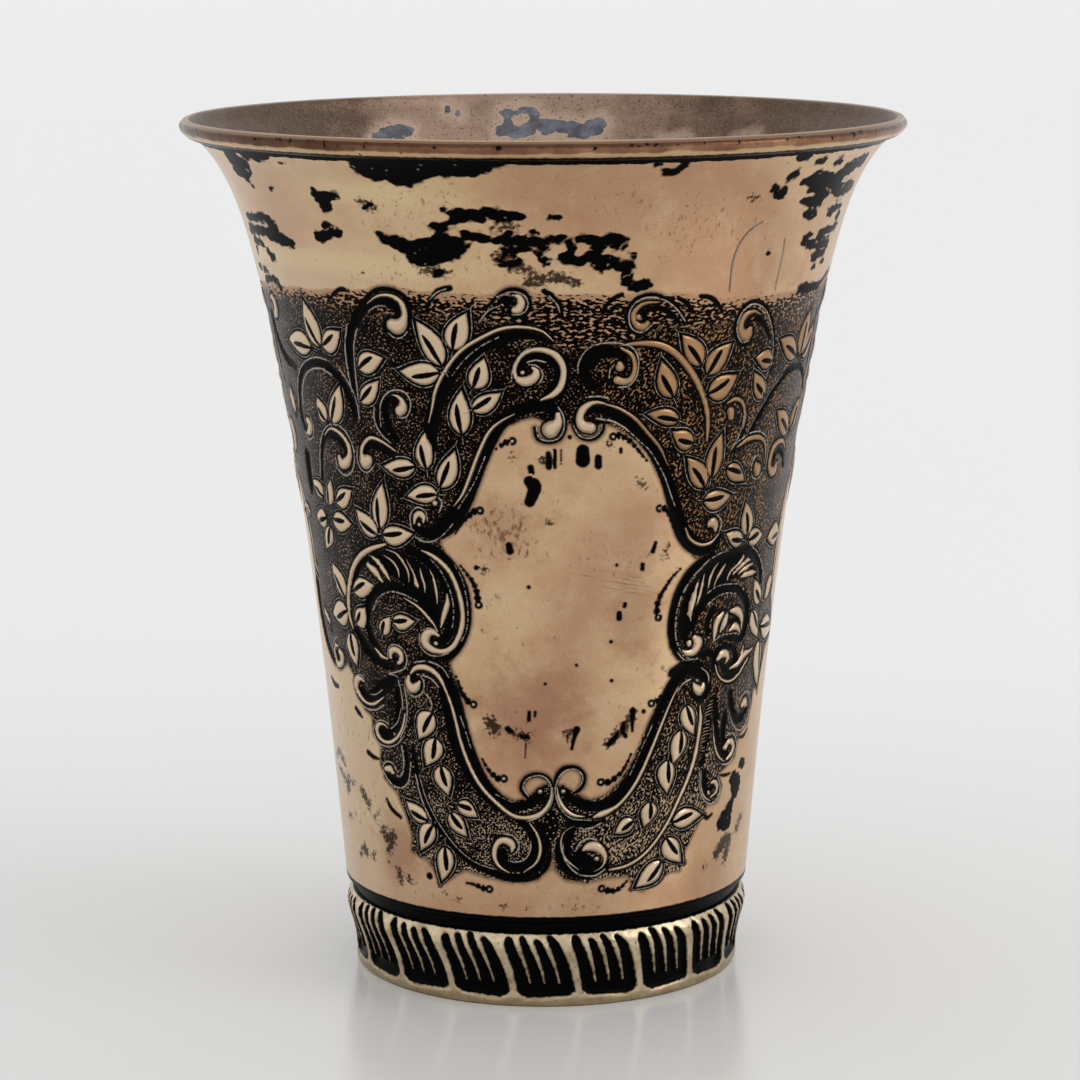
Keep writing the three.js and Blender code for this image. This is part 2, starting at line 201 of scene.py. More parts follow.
# Raised bands and volute ends that rubbing keeps pale: (across, up, half width)
ridges = [
    # upper left
    [(-18.7, 73.2, .06), (-17.4, 74, .12), (-15.9, 74.15, .2), (-14.7, 73.6, .28), (-14.25, 72.6, .33),
     (-14.35, 71.7, .42), (-15, 71.05, .78), (-15.75, 71.2, .6)],
    [(-11.9, 61.5, .06), (-11.5, 63, .12), (-11, 64.9, .16), (-9.8, 67.1, .17), (-8.2, 69, .18), (-5.9, 70.45, .18),
     (-3.9, 71.3, .17), (-1.8, 71.4, .15), (-0.2, 71, .1), (0.8, 70.1, .05)],
    [(-2.8, 66.3, .2), (-2.95, 67.1, .18), (-2.6, 68, .15), (-2, 68.75, .18), (-1, 69.15, .22), (0.2, 69.05, .28),
     (1.2, 68.5, .33), (1.8, 67.5, .3), (1.85, 66.4, .3), (1.5, 65.3, .33), (0.8, 64.6, .28), (-0.3, 64.1, .1)],
    [(-1.15, 67.35, .12), (-0.75, 66.9, .3), (-1.05, 66.3, .45), (-1.8, 65.95, .5), (-2.5, 66.1, .34)],
    [(-2.15, 66.85, .2)],
    [(-16, 64, .08), (-15.3, 63.9, .16), (-14.75, 63.4, .3), (-14.7, 62.75, .5), (-15.1, 62.45, .55)],
    [(-3, 74.6, .1), (-2.5, 74.5, .25), (-2.2, 73.9, .35), (-2.5, 73.2, .42), (-2.9, 73.1, .3)],
    [(-15.9, 58.3, .08), (-17.3, 59, .15), (-18.6, 59.35, .18), (-19.4, 59.1, .2), (-20.15, 58.3, .2),
     (-20.3, 57.3, .3), (-19.8, 56.7, .75), (-19.3, 57, .5)],
    # frame of the plain panel, upper half
    [(-3, 62.6, .06), (-4.3, 61.9, .12), (-5.5, 60.8, .16), (-6.6, 58.6, .17), (-7.6, 56, .17), (-8.4, 54.2, .14),
     (-9.3, 53, .05)],
    [(1.3, 62.6, .25), (1.35, 61.8, .4), (0.6, 61.1, .85)],
    [(6, 63.6, .1), (4.9, 63.75, .2), (3.85, 63.2, .35), (3.45, 62.2, .38), (3.75, 61.4, .5), (4.5, 61.2, .55)],
    [(6, 63.55, .08), (7.5, 63, .14), (9.1, 61.9, .17), (10.45, 60.4, .17), (11.8, 58.8, .14), (12.6, 57.2, .06)],
    # upper right
    [(7.6, 69.15, .1), (8.7, 68.4, .2), (9.05, 67.2, .22), (8.7, 66, .28), (7.9, 65.75, .35), (7.2, 65.95, .38)],
    [(7.45, 67.7, .12), (7.5, 67.25, .45)],
    [(7.4, 69.35, .06), (9.1, 69.55, .2), (11.4, 69.35, .3), (13.2, 68.45, .33), (14.8, 66.85, .33), (16.1, 65, .33),
     (17.05, 62.9, .3), (17.45, 61, .26), (17.4, 59, .12)],
    [(11.6, 73.6, .06), (9.9, 73.55, .16), (8.85, 72.6, .25), (9.1, 71.5, .3), (9.8, 71.15, .35), (10.3, 71.5, .25)],
    [(9.6, 72, .12), (9.35, 72.2, .28)],
    [(24.4, 71.4, .06), (23.3, 71.85, .16), (22, 71.55, .3), (21.4, 70.6, .4), (21.75, 69.6, .5), (22.5, 69.5, .6),
     (22.8, 70, .35)],
    [(20.5, 61.7, .5), (20.6, 61.2, .4)],
    [(20.2, 62.7, .1), (21.1, 63, .2), (22.2, 62.5, .22), (22.7, 61.2, .2), (22.6, 59.8, .1)],
    [(21.8, 57.9, .1), (23.4, 58.5, .22), (25, 58.55, .25), (26.4, 57.95, .22), (26.95, 56.7, .15), (26.8, 55.5, .06)],
    [(25, 55.5, .3), (25.4, 55.05, .72)],
    [(32.2, 56.3, .08), (31.1, 57.25, .2), (29.5, 57.35, .3), (28.3, 56.6, .33), (27.85, 55.4, .36),
     (28.4, 54.4, .45), (29.4, 54.4, .5), (29.7, 55, .3)],
    # left side
    [(-30.2, 60, .2), (-29.4, 59.5, .55), (-29.6, 58.8, .5), (-30.3, 58.5, .2)],
    [(-26.6, 58.7, .05), (-25.2, 59.6, .13), (-23.5, 59.3, .22), (-22.3, 58.3, .28), (-22.1, 57.2, .35),
     (-22.7, 56.3, .55), (-23.5, 56.1, .5), (-23.9, 56.7, .3)],
    [(-37.2, 72, .1), (-36.5, 72.3, .3), (-35.6, 71.7, .5), (-35.6, 70.8, .6), (-36.2, 70.4, .35)],
    [(-37.2, 58.9, .2), (-36.2, 58.6, .6), (-35.3, 57.6, .6), (-35.5, 56.4, .4), (-36.3, 55.9, .2)],
    [(-35.2, 49.4, .12), (-34.2, 50.1, .25), (-33, 50, .3), (-32.4, 49.4, .2)],
    [(-17.5, 48.3, .15), (-19.5, 47.6, .26), (-21.1, 46.7, .3), (-22.3, 45.5, .32), (-23.05, 44.2, .3),
     (-23.6, 42.4, .3), (-23.75, 40.5, .26), (-23.55, 39.4, .2), (-23.2, 38.5, .1)],
    [(-19.4, 36.9, .1), (-18.6, 36.3, .22), (-17.8, 36.1, .12)],
    # left acanthus
    [(-13, 48.1, .1), (-11.8, 47.7, .22), (-10.7, 47, .25), (-9.75, 46, .25), (-9, 44.4, .25), (-8.55, 42.6, .25),
     (-8.5, 41, .25), (-8.85, 39.6, .25), (-9.6, 38.3, .25), (-10.7, 37.7, .28), (-12, 37.85, .35),
     (-12.75, 38.5, .5), (-12.6, 39.3, .5), (-11.9, 39.7, .3), (-11.2, 39.35, .15)],
    [(-11.5, 38.5, .22)],
    [(-10.2, 43.7, .06), (-10.15, 42.8, .22), (-10.45, 41.8, .3), (-10.75, 40.9, .24), (-10.9, 40.3, .06)],
    [(-12.1, 46.2, .04), (-11.65, 45.3, .12), (-11.42, 44.3, .16), (-11.35, 43.5, .16), (-11.4, 42.7, .05)],
    [(-14.9, 46.9, .03), (-14.3, 46, .1), (-13.95, 45.2, .17), (-13.75, 44.5, .22), (-13.6, 44.1, .06)],
    [(-13.3, 46.2, .04), (-13.05, 45.3, .14), (-12.85, 44.5, .14), (-12.8, 43.7, .05)],
    [(-17.5, 47.8, .03), (-16.4, 47.55, .1), (-15.55, 46.9, .13), (-15, 46.1, .14), (-14.75, 45.3, .1),
     (-14.7, 44.7, .03)],
    [(-18, 47.1, .04), (-16.9, 46.6, .12), (-16.2, 45.9, .13), (-15.9, 45.1, .04)],
    [(-20, 46.8, .08), (-18.7, 46.3, .24), (-17.6, 45.3, .24), (-17, 44.5, .06)],
    [(-20.3, 45.9, .2), (-19, 45.2, .4), (-18.1, 44.3, .12)],
    [(-15.2, 42.9, .06), (-13.6, 42.2, .13), (-12.2, 41, .14), (-11.3, 39.9, .05)],
    [(-17.25, 36.4, .15), (-17.2, 37, .3), (-16.5, 37.3, .32), (-15.8, 36.9, .32), (-15.75, 36.2, .25),
     (-16.2, 35.9, .2)],
    [(-13.75, 50.9, .12), (-13.6, 51.6, .26), (-13.1, 52, .3), (-12.6, 51.7, .25), (-12.7, 51.2, .12)],
    [(-13.2, 50.8, .2)], [(-11.3, 53.2, .28)],
    # frame of the plain panel, lower half
    [(-14.7, 34.9, .1), (-14, 35.6, .25), (-12.9, 35.85, .3), (-11.8, 35.5, .28), (-11, 34.7, .2), (-10.5, 33.6, .15),
     (-9.9, 32.2, .16), (-9.4, 30.4, .16), (-9, 28.7, .16), (-8.4, 26.9, .17), (-7.5, 24.9, .17), (-6.4, 23.3, .17),
     (-5, 21.95, .17), (-3.7, 20.95, .18), (-2.5, 20.55, .22), (-1.1, 20.75, .25), (-0.1, 21.4, .25), (0.5, 22.5, .2),
     (0.6, 23.6, .12)],
    [(-3.55, 16.9, .1), (-3.4, 17.5, .3), (-3.8, 17.95, .4), (-4.5, 18.1, .34), (-5.05, 17.7, .27),
     (-5.35, 16.9, .25), (-5.3, 16, .2), (-4.8, 15.2, .13), (-3.8, 14.6, .05)],
    [(-1.7, 20, .06), (-0.9, 18.7, .13), (-0.6, 17.2, .16), (-1, 15.8, .13), (-2.2, 14.8, .06)], [(-4.3, 18.2, .2)],
    # the next two pale spots are painted highlights
    [(-0.6, 23.4, .22)], [(1.75, 23.4, .22)],
    [(-21.6, 33, .08), (-22.4, 33.3, .3), (-22.95, 32.8, .4), (-22.9, 32, .3), (-22.2, 31.2, .2), (-21.2, 30.75, .16),
     (-20, 30.9, .18), (-19, 31.5, .12), (-18.4, 31.9, .05)],
    [(-18, 28.6, .05), (-18.6, 28.9, .12), (-19.3, 28.85, .2), (-19.7, 28.3, .3), (-19.5, 27.6, .24),
     (-18.8, 27.1, .18), (-17.8, 27.1, .2), (-16.9, 27.6, .18), (-16.2, 28.4, .15), (-15.75, 29.4, .13),
     (-15.5, 30.5, .1)],
    [(-18.4, 24.1, .28), (-17.8, 24.2, .4), (-17.5, 23.9, .24)],
    [(-14.9, 34.6, .18), (-14.95, 33.9, .34), (-14.5, 33.4, .5), (-13.9, 33.6, .42), (-13.55, 34.2, .18)],
    [(16.4, 33.5, .12), (16.7, 33, .4), (17.3, 32.6, .52), (17.8, 32.9, .28), (17.9, 33.3, .1)],
    [(17.6, 35, .05), (18.5, 34.2, .08), (18.6, 33.2, .05)],
    [(21.8, 25.6, .28), (22.2, 26.1, .33), (22.9, 26.1, .33), (23.35, 25.5, .33), (23.1, 24.8, .28),
     (22.3, 24.3, .16)],
    [(19.6, 28.5, .06), (19.8, 26.5, .13), (20.5, 25, .14), (21.5, 24.2, .08)],
    [(19.9, 35.6, .24), (20.4, 36, .38), (21.1, 36, .42), (21.6, 35.5, .28), (21.3, 34.9, .12)],
    [(19.6, 34.9, .08), (20, 33.9, .11), (21, 33.1, .13), (22.3, 32.8, .13), (24, 33.3, .11), (26, 34.6, .08)],
    [(19.4, 22.2, .1), (20, 22.25, .24), (20.45, 21.7, .24), (20.3, 21, .16), (19.5, 20.7, .1)], [(19.15, 21.2, .22)],
    [(17.75, 23.9, .05), (17.85, 22.2, .1), (18.4, 20.9, .1), (19.3, 20.3, .06)],
    [(-27.6, 36.2, .1), (-27.9, 35, .2), (-27.2, 34, .3), (-26.2, 34.1, .4), (-25.9, 35, .5), (-26.5, 35.4, .35)],
    [(1.15, 23.6, .06), (1.3, 22.6, .16), (1.9, 21.5, .18), (2.8, 20.8, .16), (3.9, 20.6, .08)],
    [(4.9, 20.5, .1), (5.7, 20.8, .32), (6.6, 21.1, .22), (7.7, 21.75, .16), (9.1, 23.3, .17), (10.2, 25.1, .17),
     (11.1, 26.95, .16), (12.05, 29, .15), (12.8, 30.6, .12), (13.6, 32.2, .1), (14.4, 33.5, .06)],
    [(17.4, 30.8, .08), (17.5, 29.4, .22), (17.15, 27.2, .26), (16.6, 25.1, .25), (15.7, 23.1, .22),
     (14.5, 21.05, .2), (13.4, 19.2, .17), (11.8, 17.2, .15), (10.2, 15.8, .15), (8.4, 14.95, .15), (6.6, 14.7, .12)],
    [(3.85, 17, .14), (4.3, 17.35, .42), (5.05, 17.35, .52), (5.75, 16.8, .36), (6.1, 16, .2), (5.8, 15.1, .09),
     (5, 14.6, .04)],
    [(5.2, 16, .24)],
    [(2.9, 19.6, .03), (1.95, 19.1, .06), (1.55, 18.2, .09), (1.6, 17, .1), (2.15, 15.9, .1), (3.3, 14.9, .04)],
    [(25, 29.6, .3), (25.6, 29.9, .5), (26, 29.3, .25)],
    # right acanthus
    [(17, 44.4, .06), (16.5, 43.3, .24), (16.05, 42.2, .38), (15.8, 41.2, .34), (16, 40.4, .08)],
    [(17.75, 44.9, .05), (17.5, 43.8, .16), (17.1, 42.7, .16), (16.8, 41.9, .05)],
    [(18.25, 43.2, .05), (18.5, 44.2, .14), (19, 45.1, .14), (19.8, 45.9, .05)],
    [(19.3, 43.6, .05), (19.7, 44.4, .16), (20.2, 45, .16), (20.9, 45.6, .05)],
    [(21.2, 44, .06), (21.9, 44.7, .14), (23, 45.4, .2), (23.9, 46, .1)],
    [(22.2, 44.3, .08), (23.3, 44.95, .26), (24.6, 45.5, .22), (25.1, 45.4, .08)],
    [(23.2, 44.15, .08), (24.4, 44.65, .24), (25.7, 44.85, .16)],
    [(23.5, 43.8, .1), (24.9, 44, .3), (26.2, 43.9, .2), (26.5, 43.8, .08)],
    [(19.2, 37.8, .12), (19.35, 39, .4), (19.7, 39.8, .42), (20.5, 40.4, .22)],
    [(20.2, 38.5, .15), (20.75, 39.3, .42), (21.2, 40, .28)],
    [(21.8, 40.45, .15), (22.8, 40.35, .45), (23.6, 39.8, .42), (23.95, 39, .25), (23.95, 38.1, .08)],
    [(21.8, 38.4, .15), (22.6, 38.7, .4), (23.2, 38.4, .28), (23.7, 37.8, .08)],
    [(26.9, 35.5, .1), (25.8, 35.3, .25), (24.6, 35.2, .42), (23.6, 34.5, .32), (22.4, 34.1, .1)],
    [(24.2, 35.3, .3), (24.6, 36.2, .08)],
    [(16.4, 38.4, .3), (16.9, 37.8, .6), (16.4, 37, .45), (15.5, 36.9, .3), (14.9, 37.2, .1)], [(15.7, 37.9, .35)],
    [(18, 50.2, .3), (18.5, 50.4, .5), (18.9, 50, .4), (18.9, 49.5, .2)],
    [(15.1, 50, .08), (15.7, 48.9, .15), (17, 48.15, .17), (18.4, 48.25, .17), (19.4, 49, .1)],
]

# Smooth hollows beside the bands, black with old polish and tarnish: (across, up, half width)
hollows = [
    [(-18.6, 73.6, .3), (-20, 72.2, .42), (-20.9, 70.4, .46), (-21.3, 68.4, .42), (-21.2, 66.2, .35),
     (-20.9, 63.8, .25), (-20.7, 61.4, .12)],
    [(22.9, 61.6, .15), (22.8, 60, .25), (22, 58.5, .25), (21, 57.4, .15)],
    [(26.9, 69, .18), (26.7, 66.8, .22), (26.1, 64.6, .18), (25.2, 62.6, .1)],
    [(-17.8, 62.6, .2), (-17.9, 61.2, .3), (-17.2, 60, .3), (-16.2, 59.2, .2)],
    [(-19.4, 46, .4), (-17.6, 46.2, .7), (-15.6, 45.6, .9), (-13.6, 44.9, .9), (-12.2, 43.9, .8), (-11.4, 42.4, .6),
     (-11.1, 40.9, .35)],
    [(-17.6, 47.4, .3), (-15.6, 47.2, .5), (-13.6, 46.4, .6), (-12.2, 45.4, .5)],
    [(16.2, 40.2, .4), (16.1, 41.8, .7), (16.9, 43.3, .8), (18.3, 44.3, .8), (19.7, 44.9, .7), (20.9, 45.2, .4)],
    [(-20.3, 70.8, .4), (-19.4, 72.3, .5), (-17.9, 73.3, .5), (-16.4, 73.55, .5), (-15.2, 73.2, .5),
     (-14.75, 72.5, .45), (-15.2, 72, .3), (-15.7, 71.95, .15)],
    [(-20.2, 72, .25), (-18.8, 73.7, .25), (-17.3, 74.65, .25), (-15.7, 74.75, .25), (-14.3, 74.2, .25),
     (-13.7, 73, .25), (-13.7, 71.8, .25), (-14.3, 70.5, .25), (-15.3, 69.95, .22), (-16.3, 70.4, .2),
     (-16.6, 71.3, .2), (-16.2, 72, .15)],
    [(-11.7, 59, .7), (-11.6, 61, .8), (-11, 63.2, .8), (-9.9, 65.6, .75), (-8.5, 67.6, .7), (-6.8, 69, .65),
     (-4.8, 70.1, .6), (-2.6, 70.6, .45), (-0.6, 70.4, .3), (0.6, 69.8, .2)],
    [(-2.4, 67.3, .3), (-2.1, 67.95, .42), (-1.3, 68.4, .42), (-0.2, 68.45, .38), (0.7, 68.05, .36), (1.2, 67.3, .32),
     (1.25, 66.4, .32), (0.95, 65.5, .32), (0.2, 64.9, .3)],
    [(-2, 67.1, .25), (-1.6, 66.85, .2)], [(-3.1, 66.2, .15), (-2.9, 67.8, .15), (-2, 69.2, .15)],
    [(2.2, 68.3, .2), (2.35, 66.6, .2), (1.8, 64.6, .2), (0.6, 63.9, .25)],
    [(-15.6, 59.4, .35), (-16.6, 61, .45), (-16.9, 62.4, .45), (-16.5, 63.5, .35), (-15.7, 63.6, .3),
     (-15.5, 63.2, .2)],
    [(-5.6, 72.6, .2), (-4.6, 73.8, .3), (-3.7, 74.3, .35), (-3.2, 73.9, .25)],
    [(-5.9, 73, .15), (-4.4, 74.6, .2), (-3.1, 75.2, .2), (-1.8, 74.8, .2), (-1.35, 73.6, .2), (-2, 72.5, .2),
     (-3.2, 72.4, .15)],
    [(-16, 57.6, .2), (-17.4, 58.3, .4), (-18.8, 58.6, .4), (-19.6, 58.1, .35), (-19.5, 57.5, .2)],
    [(1.3, 63.2, .25), (0.2, 63.6, .5), (-1.5, 63.4, .6), (-3.2, 62.7, .65), (-4.6, 61.4, .7), (-5.6, 59.6, .72),
     (-6.5, 57.6, .75), (-7.3, 55.6, .8), (-8.3, 53.4, .9), (-9.4, 51.6, 1), (-10.8, 50.4, .9), (-12.2, 50, .6),
     (-13.4, 50.3, .4)],
    [(0.5, 63.2, .4), (0.9, 62.6, .25), (0.4, 62.3, .12)],
    [(1.36, 63.3, .22), (1.9, 62.4, .24), (1.95, 61.2, .24), (1.4, 60.1, .22), (0.3, 59.8, .2), (-0.7, 60.2, .2),
     (-0.95, 61.2, .2)],
    [(4.2, 62.6, .2), (5, 63, .3), (6.2, 62.8, .42), (7.6, 62, .5), (9, 60.9, .55), (10.3, 59.5, .58),
     (11.4, 57.9, .6), (12.4, 55.9, .65), (13.2, 53.8, .75), (13.9, 51.6, .85), (14.7, 49.6, .9), (15.9, 48.3, .85),
     (17.4, 47.6, .6), (18.8, 47.9, .4), (19.7, 48.8, .25)],
    [(2.8, 61.4, .2), (3.5, 60.3, .22), (4.7, 60.05, .22), (5.6, 60.7, .22), (5.8, 61.5, .2)],
    [(4.9, 65.2, .3), (4, 66.3, .5), (3.95, 67.5, .6), (4.8, 68.5, .65), (6.1, 68.8, .6), (7.3, 68.6, .5),
     (8, 68, .35), (7.9, 67.2, .2)],
    [(6.9, 67.6, .2), (6.4, 66.8, .2), (6.3, 66, .15)],
    [(9.7, 72.5, .2), (10.4, 72.9, .3), (11.5, 73, .3), (12.7, 72.5, .28), (13.8, 71.4, .2)],
    [(14.6, 71.5, .15), (13.5, 73, .2), (12.1, 74, .2), (10.4, 74.4, .2), (8.9, 73.9, .2), (8.2, 72.6, .2),
     (8.5, 71, .2), (9.8, 70.4, .18), (10.8, 71.1, .15)],
    [(-0.5, 22.9, .25), (-1.2, 22.3, .35), (-2.3, 21.9, .5), (-3.5, 21.7, .55), (-4.8, 22.4, .6), (-6, 23.6, .6),
     (-7, 25.2, .6), (-7.8, 27.1, .6), (-8.4, 29, .6), (-8.9, 31, .58), (-9.4, 33, .55), (-10.1, 34.6, .5),
     (-11, 35.8, .3)],
    [(-10.9, 33.6, .4), (-10.4, 31.6, .45), (-9.9, 29.5, .45), (-9.4, 27.5, .4), (-8.6, 25.6, .35), (-7.6, 24, .3),
     (-6.4, 22.6, .25), (-5, 21.3, .2)],
    [(2.1, 23.4, .25), (2.5, 22.6, .35), (3.5, 22, .5), (5, 21.6, .55), (6.6, 21.95, .6), (8, 23.2, .6),
     (9.2, 24.9, .6), (10.15, 26.8, .58), (11, 28.8, .55), (11.8, 30.7, .5), (12.7, 32.5, .5), (13.6, 33.9, .55),
     (14.8, 34.9, .6), (16.4, 35.3, .5)],
    [(-14.6, 27, .2), (-14.2, 25, .3), (-13.5, 22.6, .35), (-12.5, 20.4, .4), (-11, 18.4, .42), (-9.3, 16.6, .45),
     (-7.4, 15.3, .45), (-5.4, 14.5, .4), (-3.3, 14, .35), (-1.4, 14.2, .3), (0, 15.4, .28), (0.3, 17.2, .25),
     (-0.1, 18.9, .3), (-1, 20, .25)],
    [(-4.5, 16.9, .4), (-4.3, 15.9, .55), (-3.4, 15.3, .55), (-2.2, 15.4, .5), (-1.4, 16.5, .42), (-1.2, 18, .38),
     (-1.8, 19.4, .45), (-2.6, 20.3, .5)],
    [(-1, 20.2, .25), (-0.35, 19.2, .33), (-0.1, 17.9, .42), (-0.3, 16.4, .42), (-1, 15.1, .42), (-2.2, 14.4, .4),
     (-3.6, 14.2, .35), (-5.2, 14.4, .3), (-6.8, 14.9, .3)],
    [(0.45, 21, .5), (0.5, 19.8, .75), (0.45, 18.6, .5)],
    [(2.3, 19.9, .5), (3.6, 20, .5), (4.9, 19.8, .35), (6, 20, .2)],
    [(2.6, 19.4, .5), (1.8, 18, .75), (1.7, 16.6, .85), (2.4, 15.2, .85), (3.8, 14.5, .65), (5.2, 14.5, .45),
     (6.4, 15.2, .25)],
    [(3.3, 16.3, .8), (4.2, 15.6, .8), (5.2, 15.3, .5)],
    [(-21.7, 32.3, .3), (-21.9, 31.8, .42), (-21, 31.6, .48), (-19.8, 32, .6), (-18.6, 32.8, .8), (-17.3, 33.6, .7),
     (-16.6, 34.2, .4)],
    [(-18.9, 28.3, .3), (-18.4, 27.9, .4), (-17.6, 28.1, .5), (-16.9, 28.9, .45), (-16.5, 30, .4), (-16.3, 31.5, .4),
     (-16.4, 33, .4)],
    [(-18.4, 23.3, .3), (-17.6, 23, .48), (-16.6, 22.9, .5), (-15.8, 23.4, .4), (-15.5, 24.3, .3), (-15.4, 25.5, .28),
     (-15.6, 27, .2)],
    [(-14.35, 34.7, .3), (-13.8, 35, .28)],
    [(13.6, 35, .5), (15.2, 35.4, .8), (16.8, 35, .9), (17.9, 34, .6), (18.2, 33.2, .3)],
    [(16.2, 32.4, .28), (17, 31.8, .34), (18.1, 32, .4), (18.6, 32.8, .34)],
    [(19.6, 31.8, .4), (19.8, 29, .45), (20.3, 27, .45), (21, 25.6, .5), (22, 24.6, .4)],
    [(22.2, 25.3, .33), (21.6, 25.2, .4), (21.4, 26.5, .45), (21.2, 28, .45), (21.4, 29.5, .3)],
    [(20.5, 34.9, .3), (21.3, 34.2, .6), (22.8, 33.9, .6)],
    [(18.3, 23.5, .38), (18.4, 22, .45), (18.9, 21.4, .4), (19.6, 21.7, .3)],
    [(17.8, 24.8, .45), (18.2, 28, .6), (18.8, 30.6, .65), (19.8, 32.2, .45)],
    [(-27, 35.8, .3), (-27.3, 34.9, .3), (-26.7, 34.7, .2)],
    [(3.7, 66.4, .3), (4.3, 68.4, .7), (6, 69, .6), (7.6, 68.4, .4)],
    [(-1.2, 22.75, .1), (-1.8, 22.75, .18), (-2.4, 23.4, .2), (-2.45, 24.1, .22), (-1.9, 24.9, .24),
     (-0.9, 25.2, .24), (0, 24.9, .24), (0.5, 24.3, .22), (0.75, 23.4, .2), (0.6, 22.2, .12)],
    [(-0.2, 22.6, .3), (-0.6, 22.9, .35), (-1.3, 22.4, .35), (-2.2, 22, .4)],
    [(2.6, 22.6, .4), (1.9, 22.7, .35), (1.5, 23.3, .3), (1.7, 23.9, .15)],
    [(2.4, 23.2, .08), (3.1, 23.3, .18), (3.7, 24, .22), (3.85, 24.9, .24), (3.3, 25.7, .24), (2.4, 25.95, .24),
     (1.5, 25.6, .24), (1.05, 24.8, .22), (0.85, 23.6, .2), (1.1, 22, .2), (2, 20.7, .2), (3.2, 20.05, .18),
     (4.6, 20, .1)],
    [(-13.4, 48.7, .3), (-11.4, 48.3, .4), (-10, 47.3, .4), (-8.9, 45.9, .42), (-8.2, 44.2, .42), (-7.95, 42.2, .42),
     (-8.1, 40.4, .42), (-8.8, 38.6, .4), (-9.9, 37.3, .35), (-11.4, 37, .25)],
    [(-14.5, 48, .5), (-12.8, 47.5, .65), (-11.4, 46.5, .75), (-10.3, 45.2, .75), (-9.7, 43.5, .7), (-9.5, 41.8, .6),
     (-9.8, 40.3, .55), (-10.5, 39, .45), (-11.2, 38.4, .25)],
    [(-22.6, 43.5, .5), (-21.6, 45.6, .6), (-19.6, 46.6, .7), (-17.5, 46.6, .9), (-15.5, 46, 1), (-14, 44.8, 1.1),
     (-12.6, 43.6, 1), (-11.6, 42, .8), (-11.2, 40.6, .5)],
    [(-20.6, 40, .5), (-20.3, 41.6, .6), (-19, 43.2, .6), (-17, 44, .5), (-15.2, 43.8, .5), (-13.4, 43, .5),
     (-12, 41.6, .4), (-11.5, 40.4, .3)],
    [(-22.5, 38.5, .5), (-21.5, 37.4, .6), (-20, 36.2, .6), (-18.4, 35.5, .5), (-17, 35.4, .4)],
    [(-20.6, 39.5, .4), (-20, 38, .5), (-19, 37.2, .3)], [(-16.8, 36.3, .35), (-16.4, 36, .25)],
    [(18.6, 46.9, .4), (16.8, 46.2, .5), (15.3, 45, .55), (14.2, 43.3, .55), (13.6, 41.4, .5), (13.4, 39.4, .45),
     (13.8, 37.7, .4), (14.8, 36.5, .35), (16.3, 36.1, .3)],
    [(26.8, 44.8, .5), (25, 46.2, .6), (22.8, 46.6, .6), (20.6, 46.4, .6), (18.6, 45.6, .7), (16.9, 44.4, .7),
     (15.6, 42.8, .7), (14.9, 41, .65), (14.8, 39.4, .5), (15.2, 38.4, .4)],
    [(15.9, 39.6, .5), (16.6, 41.2, .6), (18, 42.4, .7), (20, 43.1, .7), (22.2, 42.9, .6), (24, 41.9, .6),
     (25, 40.2, .55), (24.9, 38.4, .5), (24, 37.2, .4)],
    [(17.2, 36.4, .4), (18.8, 36.4, .4), (19.6, 35.2, .3)],
    [(28, 42.6, .35), (27.4, 44.6, .5), (26.2, 45.9, .7), (24.3, 46.5, .7), (22, 46.3, .8), (20, 45.6, 1),
     (18, 44.4, 1.1), (16.6, 42.8, 1.1), (15.5, 41, .9), (15.3, 39.4, .7)],
    [(26.4, 43.6, .4), (25.2, 44.4, .6), (23.5, 44.6, .8), (21.5, 44.6, .8), (19.5, 43.9, .8), (17.8, 42.6, .7)],
    [(18.2, 38.6, .3), (18.2, 40, .4), (19, 41.2, .35)],
    [(20.2, 37.4, .3), (21.6, 37.6, .4), (23.2, 37.2, .45), (24.4, 37.4, .4)],
    [(19.3, 34.4, .25), (19.2, 35.8, .3), (20.1, 36.7, .4), (21.6, 36.8, .4), (22.6, 36.2, .4), (23, 35.3, .45),
     (22.2, 34.6, .4), (21, 34.1, .4)],
    [(21.3, 40.3, .2), (21.6, 39.4, .25), (22.4, 39.4, .3), (23.3, 39.1, .25)],
    [(21, 33.4, .4), (22.6, 33.4, .4), (24.6, 34, .35), (26, 34.8, .25)],
    [(-30.6, 58.6, .25), (-31.5, 60.2, .35), (-31.6, 62, .4), (-31, 63.9, .42), (-29.8, 65.3, .42), (-28, 66.1, .4),
     (-26.1, 66.4, .4), (-24.4, 66, .42), (-22.9, 65, .42), (-21.6, 63.3, .4), (-20.9, 61.4, .3)],
    [(-27.6, 54, .3), (-27.5, 56, .4), (-27, 57.7, .42), (-26, 58.8, .4), (-24.6, 58.9, .35), (-23.4, 58.5, .35),
     (-22.7, 57.7, .3), (-22.6, 57, .25)],
    [(-37.9, 70.5, .4), (-37.3, 68.6, .5), (-36, 67, .55), (-34, 65.9, .55), (-31.6, 65.4, .4)],
    [(22.2, 70.7, .25), (22.9, 71.1, .35), (24, 71, .35), (25.2, 70.2, .3), (26.1, 68.8, .25)],
    [(26.7, 65.4, .2), (27.2, 67, .2), (26.9, 69, .22), (26.1, 71, .22), (24.9, 72.3, .22), (23.3, 72.9, .22),
     (21.8, 72.5, .22), (20.8, 71.2, .22), (20.7, 69.8, .22), (21.5, 68.6, .22), (22.8, 68.6, .2)],
    [(23.2, 58.6, .3), (24.4, 60.2, .35), (26, 61.9, .38), (28, 63.6, .4), (30.2, 64.7, .42), (32.4, 65.1, .42),
     (34.6, 64.7, .4), (36.3, 63.5, .35), (37.3, 62, .3)],
    [(28.7, 55.5, .3), (29.3, 56.2, .35), (30.3, 56.4, .35), (31.4, 55.8, .3), (32, 54.6, .3)],
